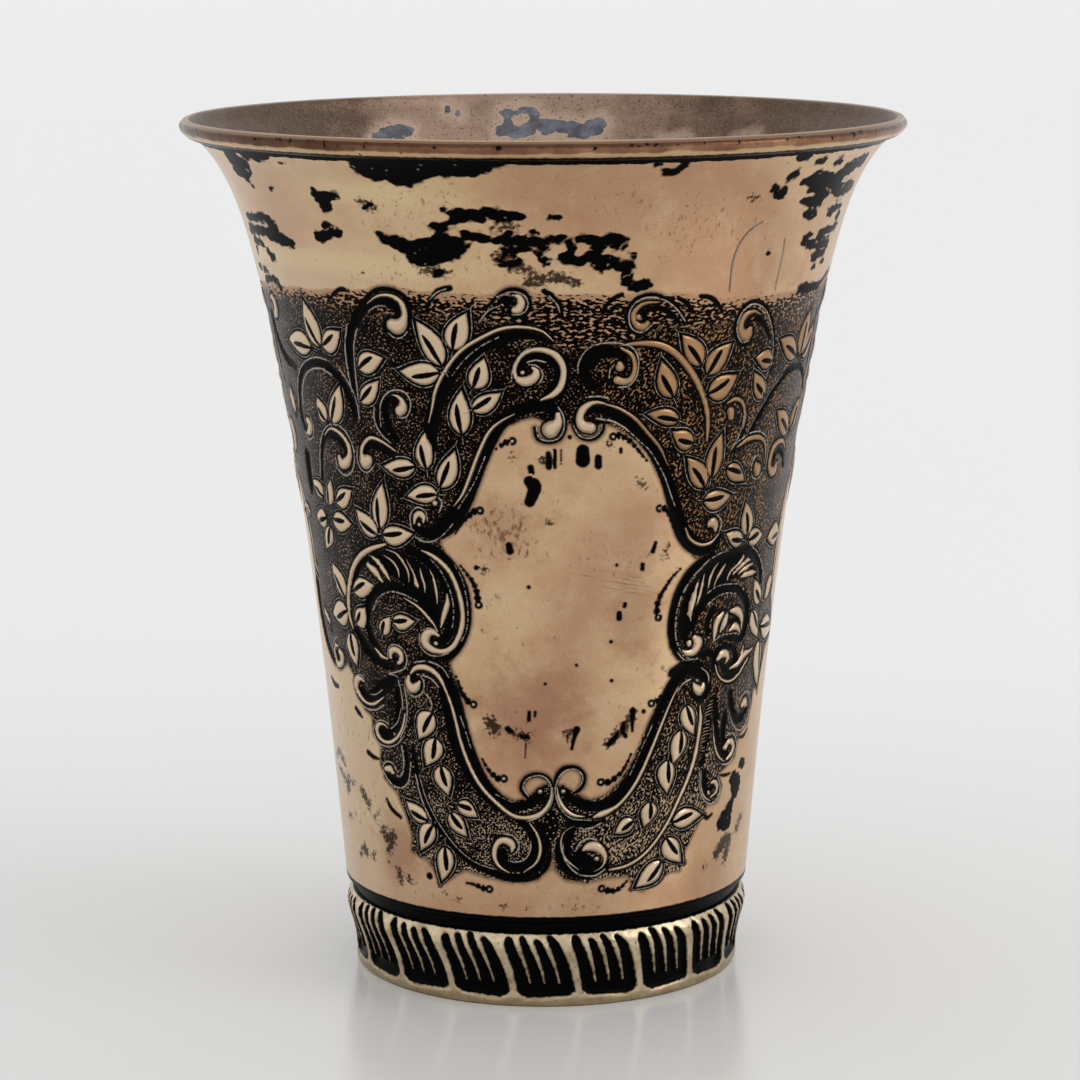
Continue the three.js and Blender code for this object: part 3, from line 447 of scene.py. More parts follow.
    [(-31.9, 44, .4), (-32.4, 42, .5), (-32.3, 39.8, .55), (-31.4, 37.4, .5), (-30, 35.4, .4), (-28.3, 34.2, .35),
     (-26.6, 33.7, .3)],
    [(-31.2, 56, .7), (-31, 54, .7), (-30.9, 52.2, .5)],
    [(22.3, 31.5, .45), (22.8, 29.6, .55), (23.8, 28.4, .6), (25, 28.4, .5), (26.1, 28.9, .35)],
]

# Thin pale lines: painted highlights where the edges of the grooves catch the light
highlightLines = [
    [(-21.5, 70.8), (-21.95, 68.6), (-21.8, 66.4), (-21.4, 64.2)],
    [(-20.2, 70.4), (-20.7, 68.6), (-20.7, 66.4), (-20.5, 64.2), (-20.35, 61.8)],
    [(-18.3, 62.6), (-18.35, 61.2), (-17.6, 59.9), (-16.5, 59.1)],
    [(26.95, 67.7), (26.6, 66.2), (26, 64.6), (25.1, 62.8)], [(22.5, 61), (22.4, 60), (21.7, 58.7), (20.9, 57.8)],
    [(-18.6, 72.4), (-17.5, 73), (-16.6, 73.05)], [(-14, 70.6), (-14.6, 70), (-15.4, 69.85), (-16.2, 70.3)],
    [(-3.25, 66), (-3.05, 67.4), (-2.4, 68.6), (-1.4, 69.4)], [(-1.6, 67.9), (-0.9, 68.1), (0.1, 67.9)],
    [(-1.5, 67.65), (-0.8, 67.55), (-0.25, 67), (-0.2, 66.3), (-0.6, 65.7)],
    [(-17.6, 60.6), (-17.6, 62.4), (-17.05, 63.7), (-15.9, 64.5), (-14.5, 64.4), (-13.8, 63.3), (-14.3, 61.9),
     (-15.4, 61.75)],
    [(-6.4, 71.8), (-5.5, 73), (-4.4, 73.5)],
    [(-4.6, 74.4), (-3.2, 74.95), (-1.95, 74.6), (-1.55, 73.6), (-2.1, 72.75), (-3, 72.65)],
    [(1.36, 63.3), (1.86, 62.4), (1.9, 61.2), (1.4, 60.2), (0.3, 59.9), (-0.6, 60.3), (-0.8, 61.2)],
    [(2.85, 61.4), (3.5, 60.35), (4.7, 60.15), (5.55, 60.8), (5.65, 61.5)], [(5.2, 62.1), (6.8, 61.75), (8.2, 60.95)],
    [(4.1, 64.3), (5.4, 64.35), (6.3, 64.1)], [(12.5, 55.8), (13.2, 53.95), (13.75, 52.6)],
    [(3.3, 66.8), (3.4, 67.9), (4.3, 69.2), (5.9, 69.7), (7.6, 69.6), (8.9, 69), (9.4, 67.8), (9.2, 66.2),
     (8.4, 65.3), (7.4, 65.2)],
    [(6.4, 66.2), (6.5, 67), (6.9, 67.5)],
    [(14.4, 71.6), (13.4, 72.85), (12.05, 73.8), (10.45, 74.15), (9.1, 73.7), (8.4, 72.6), (8.6, 71.2), (9.7, 70.6),
     (10.6, 71.2)],
    [(26.7, 65.6), (27.05, 66.9), (26.8, 68.7), (26.1, 70.5), (25, 71.9), (23.4, 72.6), (22.05, 72.25), (21.1, 71.2),
     (20.95, 69.9), (21.7, 68.8), (22.7, 68.85)],
    [(-9.5, 51.1), (-10.45, 50), (-11.6, 49.2), (-12.7, 49.1), (-13.6, 49.5)],
    [(-14.1, 50.3), (-14.2, 51.7), (-13.4, 52.6), (-12.4, 52.25), (-12.2, 51.3)],
    [(-10.9, 53.8), (-10.5, 53.2), (-10.9, 52.25)],
    [(-13.4, 39.3), (-13.4, 38.2), (-12.6, 37.35), (-11.3, 37.15), (-10.1, 37.6)],
    [(-13.2, 39.7), (-12.2, 40.05), (-11.3, 39.8)],
    [(-17.6, 36.2), (-17.6, 37.1), (-16.9, 37.75), (-15.8, 37.6), (-15.1, 36.7), (-15.3, 35.5), (-16.4, 34.9),
     (-17.5, 34.6)],
    [(-14.1, 36.2), (-12.5, 36.5), (-10.9, 36), (-10.2, 35)],
    [(-13.9, 24.2), (-13.2, 21.95), (-12.05, 19.9), (-10.7, 18.1), (-9.1, 16.5), (-7.3, 15.4), (-5.4, 14.9)],
    [(-14.3, 24), (-13.6, 21.6), (-12.5, 19.5)],
    [(-1.8, 22.9), (-2.35, 23.8), (-1.9, 24.75), (-0.7, 25.1), (0.2, 24.6), (0.6, 23.4), (0.3, 21.9), (-0.7, 20.7),
     (-1.9, 20.2)],
    [(2.6, 23.25), (3.45, 23.9), (3.75, 24.9), (2.95, 25.7), (1.8, 25.5), (1.1, 24.45), (0.95, 23.1), (1.5, 21.5),
     (2.7, 20.4), (4.6, 20.15)],
    [(-3.9, 15.9), (-3.2, 15.75), (-2.2, 16.1), (-1.65, 17), (-1.6, 18)],
    [(-4.3, 18.8), (-3.4, 18.6), (-2.85, 17.9), (-2.9, 17), (-3.6, 16.45)], [(4, 19.25), (4.8, 19.4), (5.7, 19.8)],
    [(1.7, 17.6), (1.9, 16), (3.2, 14.45), (5, 14.15), (6.1, 14.8)],
    [(3, 16.9), (3.4, 17.75), (4.3, 18.25), (5.2, 18)],
    [(22.4, 29.7), (23, 28.1), (24.5, 26.95), (26.2, 27.4), (27.2, 29), (26.7, 30.6), (25.5, 30.9), (24.5, 30.2)],
    [(-32.1, 61), (-31.9, 63), (-31, 64.8), (-29.4, 66.1), (-27, 66.9), (-25, 66.8)],
    [(-30.7, 61.5), (-30.5, 63), (-29.6, 64.5), (-28, 65.5), (-26, 65.8), (-24.3, 65.3)],
    [(-22.9, 66), (-21.6, 64.6), (-20.7, 62.8), (-20.4, 61)],
    [(-31, 58.4), (-30, 57.8), (-28.9, 58.4), (-28.7, 59.6), (-29.4, 60.5)],
    [(-28, 54), (-27.9, 56), (-27.4, 57.9), (-26.3, 59.4), (-24.9, 60.1), (-23.1, 59.9), (-21.8, 58.6), (-21.4, 57),
     (-21.9, 55.5), (-23.1, 54.9), (-24.2, 55.5), (-24.6, 56.6)],
    [(-20.9, 58), (-21, 56.8), (-20.4, 55.8), (-19.4, 55.7), (-18.6, 56.5)],
    [(23.4, 59.3), (25.2, 61.2), (27.4, 63.2), (29.5, 64.5)],
    [(21.6, 58.3), (23.4, 59), (25.2, 59.1), (26.8, 58.3), (27.4, 56.7), (27.1, 55)],
    [(24.3, 55.2), (24.4, 56), (25, 56.5)], [(24.6, 54.3), (25.6, 54), (26.4, 54.6)],
    [(19.5, 49.2), (19.8, 50.3), (19.1, 51.05)], [(14.3, 37.1), (15.2, 36.2), (16.8, 36.1)],
    [(25.5, 46.8), (27.05, 45.8), (28.2, 44.2), (28.75, 42.4), (28.9, 40.3)],
    [(-11.4, 74), (-10.7, 74.7), (-9.7, 75.1)], [(0.6, 74.4), (1.3, 73.6), (1.5, 72.9)],
    [(-20.8, 31.75), (-19.9, 31.9), (-19, 32.5)],
    [(-21.3, 32.8), (-21.9, 33.6), (-22.9, 33.5), (-23.5, 32.6), (-23.2, 31.3), (-22.3, 30.5), (-21, 30.15),
     (-19.7, 30.3), (-18.5, 31)],
    [(-17.4, 34.5), (-16.6, 34.4), (-16.2, 33.7), (-15.9, 32.4), (-15.75, 31)],
    [(-15.5, 33.6), (-15.25, 32), (-15.2, 30.6), (-15.5, 29.2), (-16.2, 27.9)],
    [(-17.6, 28.6), (-16.7, 29.4), (-16.3, 30.4), (-16.1, 31)],
    [(-17.9, 29.05), (-18.7, 29.3), (-19.6, 29.1), (-20.2, 28.3), (-20, 27.3), (-19.2, 26.7), (-18, 26.6),
     (-16.8, 27), (-16, 27.8)],
    [(-17, 24.3), (-17.5, 24.9), (-18.4, 24.9), (-18.9, 24.3), (-18.6, 23.4), (-17.9, 22.7), (-17, 22.35),
     (-16, 22.5), (-15.3, 23.2), (-15.05, 24.2), (-14.9, 25.2)],
    [(-16.8, 23.6), (-16.3, 23.7), (-15.95, 24.4), (-15.85, 25.6), (-16.1, 27)],
    [(-15.35, 34.4), (-15.3, 33.4), (-14.7, 32.7), (-13.8, 32.6), (-13.1, 33.3), (-13, 34.2), (-13.3, 34.8)],
    [(-13.9, 34.95), (-12.9, 34.9), (-12, 34.6), (-11.3, 33.9)],
    [(-13, 33.1), (-12.3, 32.5), (-12.1, 31.8), (-12.3, 31.3)], [(14.3, 33), (15, 33.7), (15.9, 34)],
    [(16.9, 33.8, .16)],
    [(21.9, 26.9), (22.9, 27), (23.8, 26.4), (24, 25.3), (23.4, 24.3), (22.3, 23.75), (21.2, 23.9)],
    [(17.5, 24), (17.6, 22.1), (18.3, 20.6), (19.4, 19.95), (20.6, 20.4), (21, 21.5), (20.5, 22.6)],
    [(-27, 37), (-28.3, 35.9), (-28.4, 34.5), (-27.2, 33.4), (-25.8, 33.5)],
]

# The same, broken into dashes by a tracing punch
dashedLines = [
    [(-9.3, 66.4), (-8, 68), (-6.3, 69.4), (-4.6, 70.3)],
    [(-6, 58.2), (-6.9, 56), (-7.6, 54.75), (-8.4, 53.5), (-9.1, 52.4)],
    [(8.2, 60.9), (9.5, 59.7), (10.7, 58.6), (11.8, 57), (12.7, 55.3)],
    [(-12, 47.2), (-11, 46.2), (-10.1, 44.6), (-9.6, 42.8), (-9.6, 41), (-9.9, 39.7)],
    [(-9.3, 46.9), (-8.5, 45.4), (-8.1, 43.6), (-7.95, 42), (-8.1, 40.2), (-8.7, 38.9)],
    [(-19.5, 41.2), (-18.6, 42.6), (-17, 43.35), (-15.45, 43.3), (-13.6, 42.7)],
    [(-8.9, 30.8), (-8.4, 29.4), (-7.7, 27.2)], [(-5.2, 22.9), (-3.2, 22.1)], [(8.9, 24.7), (10, 27), (11.4, 29.7)],
    [(18.4, 42.9), (19.8, 43.4), (21.6, 43.35), (23.4, 43), (24.6, 42)],
    [(18.2, 41.7), (19.6, 42.35), (21.4, 42.45), (22.9, 42.1)],
    [(19.1, 37.6), (20.4, 38.1), (21.6, 37.95), (23, 37.85), (24.2, 37.3)],
    [(20.3, 38.8), (20.7, 39.9), (21.4, 40.5)],
    [(21.1, 47), (19.3, 46.8), (17.5, 46), (15.9, 44.75), (14.8, 43.3), (14.1, 41.45), (13.9, 39.6), (14.2, 38.05),
     (15, 36.7), (16.4, 36)],
]

# Punched commas
marks = [
    [(-11.7, 73.2, .2), (-11.25, 74.1, .25), (-10.45, 74.9, .28), (-9.3, 75.2, .28)],
    [(0, 75, .25), (0.7, 74.5, .3), (1.5, 73.6, .28), (1.7, 72.6, .2)],
    [(5.7, 72.4, .15), (6.1, 73.5, .2), (6.8, 74.2, .22), (7.6, 74.5, .22)],
    [(16.1, 73.95, .2), (17.3, 73.7, .26), (18.2, 73.05, .26), (18.9, 72.2, .2)],
    [(13.6, 73.95, .2), (14.6, 73.3, .25), (15.1, 72.5, .2)],
    [(-23.9, 73.05, .15), (-23.2, 73.8, .2), (-22.05, 74.4, .24), (-21, 74.3, .2)],
    [(-18.4, 20.8, .15), (-17.7, 19.9, .22), (-16.4, 19.2, .18)], [(-12.7, 13.4, .35)],
    [(24.5, 26.2, .1), (25.5, 26.1, .2), (26.6, 26.7, .1)], [(-29.6, 31.9, .2), (-28.5, 31.4, .3), (-27.4, 31.4, .2)],
    [(-18.4, 13.9, .1)], [(-23.3, 29.8, .24), (-22.7, 29.4, .26), (-22.1, 29.1, .1)],
    [(-21.3, 25.4, .26), (-20.5, 25.1, .24), (-19.4, 25, .1)],
    [(20.8, 22.8, .1), (21.8, 22.6, .18), (22.8, 22.6, .1)], [(18.2, 19, .18), (18.8, 18.5, .22), (19.6, 18.8, .12)],
]

# Old spots on the plain panel
panelSpots = [
    [(1.6, 59, .05), (1.6, 57.6, .05)], [(-2, 28.8, .06), (-2.1, 27, .02)], [(2.1, 29.6, .06), (2.2, 28.6, .02)],
    [(3.75, 58.9, .6), (3.75, 57.9, .7)], [(5.3, 58.1, .33), (5.3, 57.3, .35)], [(0.35, 58.6, .25), (0.4, 57.3, .3)],
    [(0.95, 58.9, .2), (0.95, 57.3, .2)], [(7.6, 58.9, .15), (7.6, 58.6, .15)], [(2.45, 60.3, .2)],
    [(-1.4, 57.2, .3), (-1.3, 56.7, .25)], [(-1.5, 55.8, .55), (-1, 55.2, .65), (-1.5, 53.7, .5)],
    [(-3.6, 49.2, .3), (-3.5, 48.6, .35)], [(-6.95, 46.75, .22)], [(-1.65, 44.9, .16)], [(-0.05, 34.8, .12)],
    [(11.4, 49, .15), (11.1, 48.1, .22)], [(10, 46.8, .2), (9.95, 46.4, .22)], [(7.2, 46.95, .14)],
    [(7.5, 41.9, .25), (7.5, 41.4, .28)], [(8.1, 42.85, .17), (8.05, 42.6, .17)], [(6.65, 39, .16)],
    [(3.1, 36.7, .13)], [(6.7, 34.9, .16)], [(3.1, 29.9, .35), (2.9, 29.2, .2), (2.6, 27.9, .12)],
    [(8, 30.3, .2), (7.9, 29.5, .25), (8.2, 28.9, .2)], [(9, 31.5, .36), (8.95, 30.6, .2), (8.95, 29.4, .1)],
    [(6.4, 28.2, .25), (6.9, 28.6, .32), (7.4, 29.3, .15)], [(10.2, 31.35, .2)],
    [(-1.65, 31.8, .15), (-1.7, 31, .18)], [(-1.05, 31.8, .12), (-1.1, 31.4, .1)],
    [(-2.4, 29.25, .25), (-1.9, 29.15, .25)], [(-3.9, 30, .25), (-3.5, 29.75, .22)],
]

# The arch of the repair: a faint painted shade, and the painted highlight line inside it
repairPaintedShade = [
    [(19.6, 74.3, .012), (19.65, 75.5, .012), (19.85, 77.2, .014), (20.55, 78.9, .014), (21.9, 80.25, .014),
     (23.6, 81, .01)],
    [(27.2, 79, .006), (27.1, 77.5, .006), (26.65, 75.5, .006), (26.25, 73.8, .006)],
]
repairHighlight = [
    [(19.7, 74.3, .04), (19.8, 75.5, .04), (20, 77.2, .05), (20.7, 78.8, .05), (22, 80.1, .05), (23.6, 80.85, .05),
     (25.2, 81, .04), (26.6, 80.5, .04), (27.4, 79.4, .03), (27.3, 77.5, .03), (26.8, 75.5, .03), (26.4, 73.8, .03)],
]

# Tails of shrinking beads, from the large open one
beadTails = [
    [(-3.2, 59.9), (-3.8, 59.75), (-4.3, 59.45), (-4.8, 59.1)],
    [(6.8, 60.2), (7.4, 60.3), (8, 60.05), (8.5, 59.7), (9, 59.2), (9.5, 58.6), (9.9, 58.1), (10.3, 57.6)],
    [(-6.5, 52.7), (-7.05, 52.6), (-7.6, 52.2), (-8.1, 51.7), (-8.5, 51.2), (-8.8, 50.7), (-9.1, 50.25)],
    [(-6.75, 42.9), (-6.85, 43.6), (-6.95, 44.3), (-7.15, 44.9), (-7.5, 45.5), (-7.9, 46), (-8.25, 46.45),
     (-8.6, 46.85)],
    [(11.8, 52.5), (12.4, 52.45), (12.9, 51.9), (13.2, 51.2), (13.5, 50.4), (13.85, 49.6), (14.3, 48.9)],
    [(11.8, 41.1), (11.6, 41.8), (11.7, 42.6), (12, 43.4), (12.5, 44.1), (13, 44.75), (13.6, 45.4), (14.3, 45.95)],
    [(5.6, 24.2), (6.3, 24.15), (7, 24.45), (7.6, 24.9), (8.1, 25.5), (8.5, 26.2), (8.8, 26.9)],
    [(11.1, 32.1), (11.7, 32.3), (12.2, 32.65), (12.7, 33.1), (13.1, 33.6)],
    [(5.7, 12.75), (6.3, 12.5), (6.9, 12.4), (7.5, 12.55), (8, 12.9), (8.4, 13.3)],
    [(-7.4, 32.4), (-8, 32.7), (-8.45, 33.3), (-8.8, 34), (-9.05, 34.7), (-9.25, 35.2)],
    [(-4.3, 24.7), (-4.9, 24.7), (-5.4, 25.05), (-5.85, 25.5), (-6.2, 26.05), (-6.5, 26.6)],
    [(-5.9, 12.75), (-6.5, 12.8), (-7.1, 13), (-7.7, 13.15), (-8.3, 13.2)],
]
beadForm = {"cord": (0.27, 0.08), "bead": (0.4, 0.13), "eye": 0.17}  # half widths, large end and small end
for tail in beadTails:
    cord, beads = (np.linspace(*beadForm[key], len(tail)) for key in ("cord", "bead"))
    marks.append([(*place, half) for place, half in zip(tail, cord)])
    marks += [[(*place, half)] for place, half in zip(tail, beads)]
    # the open bead's pale eye is a painted highlight, drawn with the pale lines
    highlightLines.append([(*tail[0], beadForm["eye"])])

# Black tarnish left on the plain neck and low on the sides
tarnish = [
    [(-19.3, 87.6, .35), (-18.4, 87.1, .75), (-16.8, 86.8, .95), (-15, 86.7, 1.05), (-13.4, 86.5, 1.2),
     (-12.2, 86.9, 1.05), (-10.4, 87.2, .85), (-8, 87.2, .8), (-6.6, 87.3, .8), (-5.2, 87.7, .65), (-3.9, 88, .45)],
    [(-18.5, 83, .16), (-17.7, 83.2, .2), (-17.2, 82.9, .18)], [(-18.9, 76.4, .1)],
    [(-9.9, 83, .2), (-9.2, 83, .18), (-8.4, 82.6, .5), (-7, 82.55, .5), (-5.8, 82.7, .45), (-4.7, 82.75, .55),
     (-3.6, 82.5, .45), (-2.6, 82.4, .35), (-1.9, 82.4, .28)],
    [(-11.2, 81.25, .26), (-10, 81.5, .22), (-9, 81.8, .22), (-8, 82, .18)], [(-6.7, 82, .25)], [(-5.8, 81.9, .22)],
    [(-4.5, 82.1, .22)], [(-16.9, 80.2, .32), (-16, 79.9, .45), (-15, 79.6, .55), (-14.2, 79.3, .7)],
    [(-13.2, 79, .85), (-12.3, 78.9, 1.1), (-11.2, 79, 1.05), (-10, 79.3, 1), (-9, 79.6, .8), (-8.3, 79.9, .38)],
    [(-13.3, 77.8, .28), (-12.6, 77.6, .28), (-11, 77.9, .38), (-9.6, 78.2, .38), (-8.4, 78.7, .38), (-7.9, 79, .2)],
    [(-10.8, 80.3, .28), (-10, 80.7, .28), (-9.2, 80.7, .22)],
    [(-8, 80.6, .28), (-7.2, 80.5, .42), (-6.2, 80.2, .42), (-5.2, 80.3, .28)], [(-7.6, 80, .28), (-7.4, 79.4, .14)],
    [(-4.6, 80, .32), (-3.9, 80.2, .46), (-3, 80, .46), (-2, 79.9, .46), (-1, 79.9, .42), (0, 80, .32),
     (0.9, 80.1, .32), (2.2, 80.3, .28)],
    [(-3.9, 79.2, .22), (-3, 79.1, .32), (-2, 79.3, .28), (-0.9, 79.3, .28), (0.1, 79.4, .36)],
    [(-3.8, 78.6, .22), (-3, 78.5, .28)], [(-0.4, 78.6, .28), (0, 78.1, .32), (0.2, 77.7, .18)],
    [(-3.4, 80.9, .16), (-2.8, 80.7, .14)], [(-1.2, 80.9, .18), (-0.8, 80.8, .18)],
    [(-4.8, 77.9, .13), (-4, 77.8, .2), (-3.2, 77.6, .36), (-2.4, 77.8, .32)],
    [(-10.9, 76.6, .18), (-10.5, 76.7, .36), (-10, 76.8, .18)],
    [(2.5, 79.9, .32), (2.6, 79.2, .32), (2.4, 78.5, .46)],
    [(1.5, 78.3, .32), (2.4, 78.3, .55), (3.2, 78, .46), (4, 78.2, .42), (4.4, 78.6, .32)],
    [(3.3, 80.1, .32), (4, 80.2, .42), (5, 80, .46), (6, 80, .5), (7, 80.1, .5), (7.9, 80, .42)],
    [(6.8, 79.6, .36), (7.6, 79.2, .28)], [(5.3, 79.5, .36), (5.2, 78.8, .42), (5.1, 78.1, .55), (5.5, 77.4, .55)],
    [(5.6, 78.1, .46), (6.4, 78.2, .46), (6.9, 77.8, .46)],
    [(7, 77.3, .32), (7.8, 77.4, .36), (8.5, 77.4, .36), (8.8, 77, .28)], [(8.1, 76.9, .36), (8, 76.2, .46)],
    [(7.9, 75.9, .36), (8.8, 75.4, .46), (9.6, 75.4, .46), (10.3, 75.4, .36)], [(8.4, 78.4, .15), (8.9, 78.4, .15)],
    [(0.5, 82.3, .13), (1.1, 82.3, .22), (1.6, 82.3, .13)], [(10.8, 87.6, .25), (11.2, 87.4, .2)],
    [(11.7, 86.7, .28), (12.4, 86.6, .36), (13.2, 86.8, .36), (13.6, 87.3, .28), (14, 87.6, .28)],
    [(-39, 87.2, .8), (-37.6, 86.6, 1.15), (-36.4, 86.1, 1.05), (-35.6, 86, .85), (-35.2, 86.4, .45)],
    [(-38.8, 85.6, .46), (-37.6, 85.3, .36), (-36.4, 84.8, .2), (-35.2, 84, .14)],
    [(-35.5, 87.6, .28), (-34, 87.4, .34), (-32, 87.4, .38), (-30.5, 87.6, .28)],
    [(-31.7, 84.15, .14), (-31.3, 84.1, .12)], [(-28.9, 87.05, .12), (-28.2, 87, .12)],
    [(-24.7, 84.3, .32), (-24.2, 83.9, .46), (-23.4, 83.5, .7), (-22.5, 83.9, .5), (-21.8, 84, .32),
     (-21.2, 83.9, .18)],
    [(-23.4, 82.8, .46), (-22.9, 82.6, .42)], [(-23.7, 80.8, .28), (-23, 80.8, .38), (-22.6, 80.7, .28)],
    [(-24.8, 79.7, .42), (-23.8, 79.6, .46), (-23.2, 80, .38)], [(-22.6, 80.1, .42), (-21.7, 80.1, .38)],
    [(-40, 80.5, .3), (-38, 80.6, .33), (-36.4, 80.6, .38), (-35, 81, .38), (-33.6, 80.6, .46), (-32.4, 80.2, .5),
     (-32, 79.7, .42)],
    [(-40, 79.2, .46), (-37, 79.3, .46), (-35, 79.4, .5), (-33.4, 79.1, .55), (-31.6, 78.9, .55), (-30.2, 78.7, .55),
     (-29.2, 78.5, .46)],
    [(-39, 78.1, .36), (-37, 77.9, .36), (-36, 77.8, .28)], [(-38.8, 77, .36)],
    [(-34.9, 77.2, .32), (-34.2, 76.8, .42), (-33.4, 76.6, .38)], [(-37.5, 75.1, .28), (-36.2, 75.1, .28)],
    [(-39.5, 75.3, .22), (-38.4, 75.2, .22)],
    [(-37.4, 73.9, .28), (-36, 74.2, .32), (-34.5, 74.3, .32), (-33.4, 74, .32), (-33, 73.4, .32)],
    [(27.4, 87.4, .28), (28.2, 87.3, .42), (29.2, 87.6, .32)],
    [(30.6, 86.7, .28), (31.4, 86.8, .32), (32, 86.9, .28)], [(34.3, 86.5, .28), (35, 86.6, .38), (35.8, 86.7, .32)],
    [(26.7, 85.4, .32), (27.4, 85.6, .38), (27.9, 85.8, .28)],
    [(24.7, 84.3, .46), (25.2, 83.9, .5), (25.8, 83.8, .55), (26.2, 84.2, .46), (26.4, 84.5, .28)],
    [(29, 84.7, .32), (30, 84.8, .55), (31.4, 85, .75), (32.4, 84.9, .65), (33.6, 84.6, .8), (34.8, 84.4, .75),
     (36, 84.6, .65)],
    [(30.4, 83.9, .36), (31.6, 83.8, .46), (33, 83.4, .65), (34, 83.1, .55)],
    [(29.4, 82.7, .28), (30.4, 82.6, .46), (31.6, 82.5, .5), (33, 82.4, .46)],
    [(30.3, 81.2, .36), (31.4, 81.1, .5), (32.4, 81, .36)],
    [(35.6, 81.1, .32), (36.4, 81, .46), (37.6, 81.4, .28), (39.5, 81.3, .22)],
    [(36, 83.4, .65), (38, 83.2, .75), (40, 83.4, .65), (42, 83.4, .55)],
    [(36.6, 85, .75), (38.4, 85.6, .75), (40.4, 86, .65), (42.5, 86.2, .65)], [(38.8, 80.3, .36), (39.6, 80.5, .32)],
    [(30.7, 78.3, .36), (31.6, 78.2, .46), (32.6, 77.8, .42), (33.2, 77.9, .46)], [(31, 78.9, .18), (32.4, 79, .18)],
    [(34, 78.6, .46), (35.4, 78.9, .46), (37.4, 79.1, .36), (40, 79.3, .22)],
    [(34.4, 77.8, .46), (36, 77.6, .46), (37.4, 77.6, .36)],
    [(33.3, 76.5, .36), (34.2, 76.7, .5), (35.2, 76.8, .42), (36.6, 77, .28)], [(33.6, 75.5, .18), (34.3, 75.5, .16)],
    [(36, 75.9, .32), (36.8, 75.9, .32)],
    [(31, 73.3, .36), (32, 73.4, .55), (33.4, 73.3, .5), (35, 73.2, .42), (37, 73.3, .36), (39.4, 74, .28),
     (41.5, 74.4, .2)],
    [(24.5, 77.8, .2), (24.9, 77.8, .2)], [(25.2, 23.3, .5), (25.8, 23, .5)],
    [(23.6, 21.8, .8), (24.4, 21, .9), (23.8, 20, .6)],
    [(23.2, 19, .6), (22.4, 18, .9), (21.2, 17.4, .7), (22.6, 17.2, .7)],
]

# Brown smudges, broken up, low on the sides and on the panel: (across, up, half width)
smudges = [
    [(-30.5, 22.9, .4), (-29, 23.8, .5), (-27.8, 23.3, .5), (-27, 22.9, .4)],
    [(-29.5, 21.9, .4), (-28, 21.5, .5), (-26.8, 20.9, .5)], [(-26.5, 20.2, .6), (-26.1, 21.5, .5)],
    [(-25.2, 21.3, .35), (-24.6, 21.5, .3)], [(-26.7, 17.2, .4), (-25.8, 17.3, .3)],
    [(-23, 20.9, .5), (-22.2, 20.2, .6), (-21.6, 19.6, .5)], [(-20.8, 18.2, .25), (-19.8, 19.1, .25)],
    [(-24, 13.5, .4), (-22.9, 14.6, .5), (-22.6, 13.9, .5)], [(-21.2, 13.8, .4), (-21, 14.3, .4)],
    [(-19.4, 17.6, .4), (-18.6, 16.6, .7), (-17.6, 17, .6), (-18.3, 15.2, .5)],
    [(-15.6, 12.9, .35), (-15, 12.2, .35)], [(-16.9, 13.2, .5), (-16.6, 12, .4)], [(-10.8, 11.9, .3)],
    [(-9.4, 11.3, .3)], [(-4.4, 11, .3)], [(-1.9, 11, .25)], [(3, 10.9, .2)],
    [(20.5, 14, .6), (21.8, 15, .9), (23, 15.2, .8), (22.4, 13.2, .6)], [(25, 16, .6), (26.2, 17, .5)],
    [(18.6, 13.2, .4)], [(-5.6, 30.6, .8), (-5.2, 30, .8)], [(-3.8, 29.8, .4), (-1.9, 29.2, .5)],
    [(6.3, 28.3, .5), (7.8, 29.6, .6), (9, 31, .5)], [(2.4, 29.5, .6)], [(-6.2, 46.6, .5)], [(0.4, 51.6, .4)],
    [(12.4, 47.2, .3), (12.8, 48.6, .25)], [(-0.2, 58, .5), (0.6, 57.8, .6)], [(-3.2, 58.4, .4)], [(6.4, 59.4, .4)],
    [(9.4, 55.6, .3), (10.1, 54.9, .3)], [(-12, 76.9, .5), (-10.4, 76.8, .6), (-9.4, 76.6, .4)],
    [(-4.6, 78.4, .6), (-3.2, 77.8, .7), (-1.4, 77, .5)], [(-1.6, 75.9, .6), (1, 76.4, .6), (3.2, 75.8, .5)],
    [(-18.8, 83.6, .4), (-17.4, 83, .5)], [(21.6, 83.6, .35), (22.6, 83.5, .3)], [(-3, 81.4, .5), (-5, 81.2, .4)],
]

# Where the silver keeps a faint warm blush; the last stroke darkens the left of the neck as painted shade
blush = [
    [(11, 51, 1), (6, 47.5, 1), (3, 41, .5), (0.5, 32, .8), (-1, 27, 3)],
    [(15, 86, 2.5), (18.5, 81, 5.5), (20, 76, 4)], [(-1, 84.5, 1), (4, 83.5, 2.5), (9, 84, 2)],
    # the last stroke on this line is painted shade on the left of the neck
    [(-16, 11, .5), (-9, 10.4, .3), (4, 10.4, .3)], [(14, 10.6, .3), (19, 11, .5)], [(-34, 83, 1.5), (-31, 78, 1.5)],
]

# Tarnish inside the mouth, seen across the cup
innerTarnish = [
    [(-4.6, 88, .35), (-3.6, 88.1, .3), (-2.2, 88.3, .35), (-1, 88, .4), (-0.9, 87.2, .4)],
    [(-4.2, 87.6, .4), (-3.9, 86.9, .45)], [(-4.9, 86, .5), (-3, 85.9, .6), (-1.2, 86.3, .6)],
    [(-0.4, 86.7, .5), (1.5, 86.6, .5), (3.2, 86.3, .6), (4.6, 86.2, .6), (6.2, 86.7, .5), (7, 86.8, .4)],
    [(3.2, 85.8, .4), (5, 85.7, .45), (6.6, 86, .3)], [(0, 85.8, .2), (1.4, 85.8, .2)], [(-11.2, 88.4, .3)],
    [(-9.9, 87.9, .25)], [(-20.2, 85.6, .5), (-18.4, 86, .8), (-16.6, 86.2, .7), (-15.8, 86.3, .4)],
    [(14, 84.6, .4), (17, 84.8, .6)], [(24, 85, .5), (27, 85.6, .4)],
]

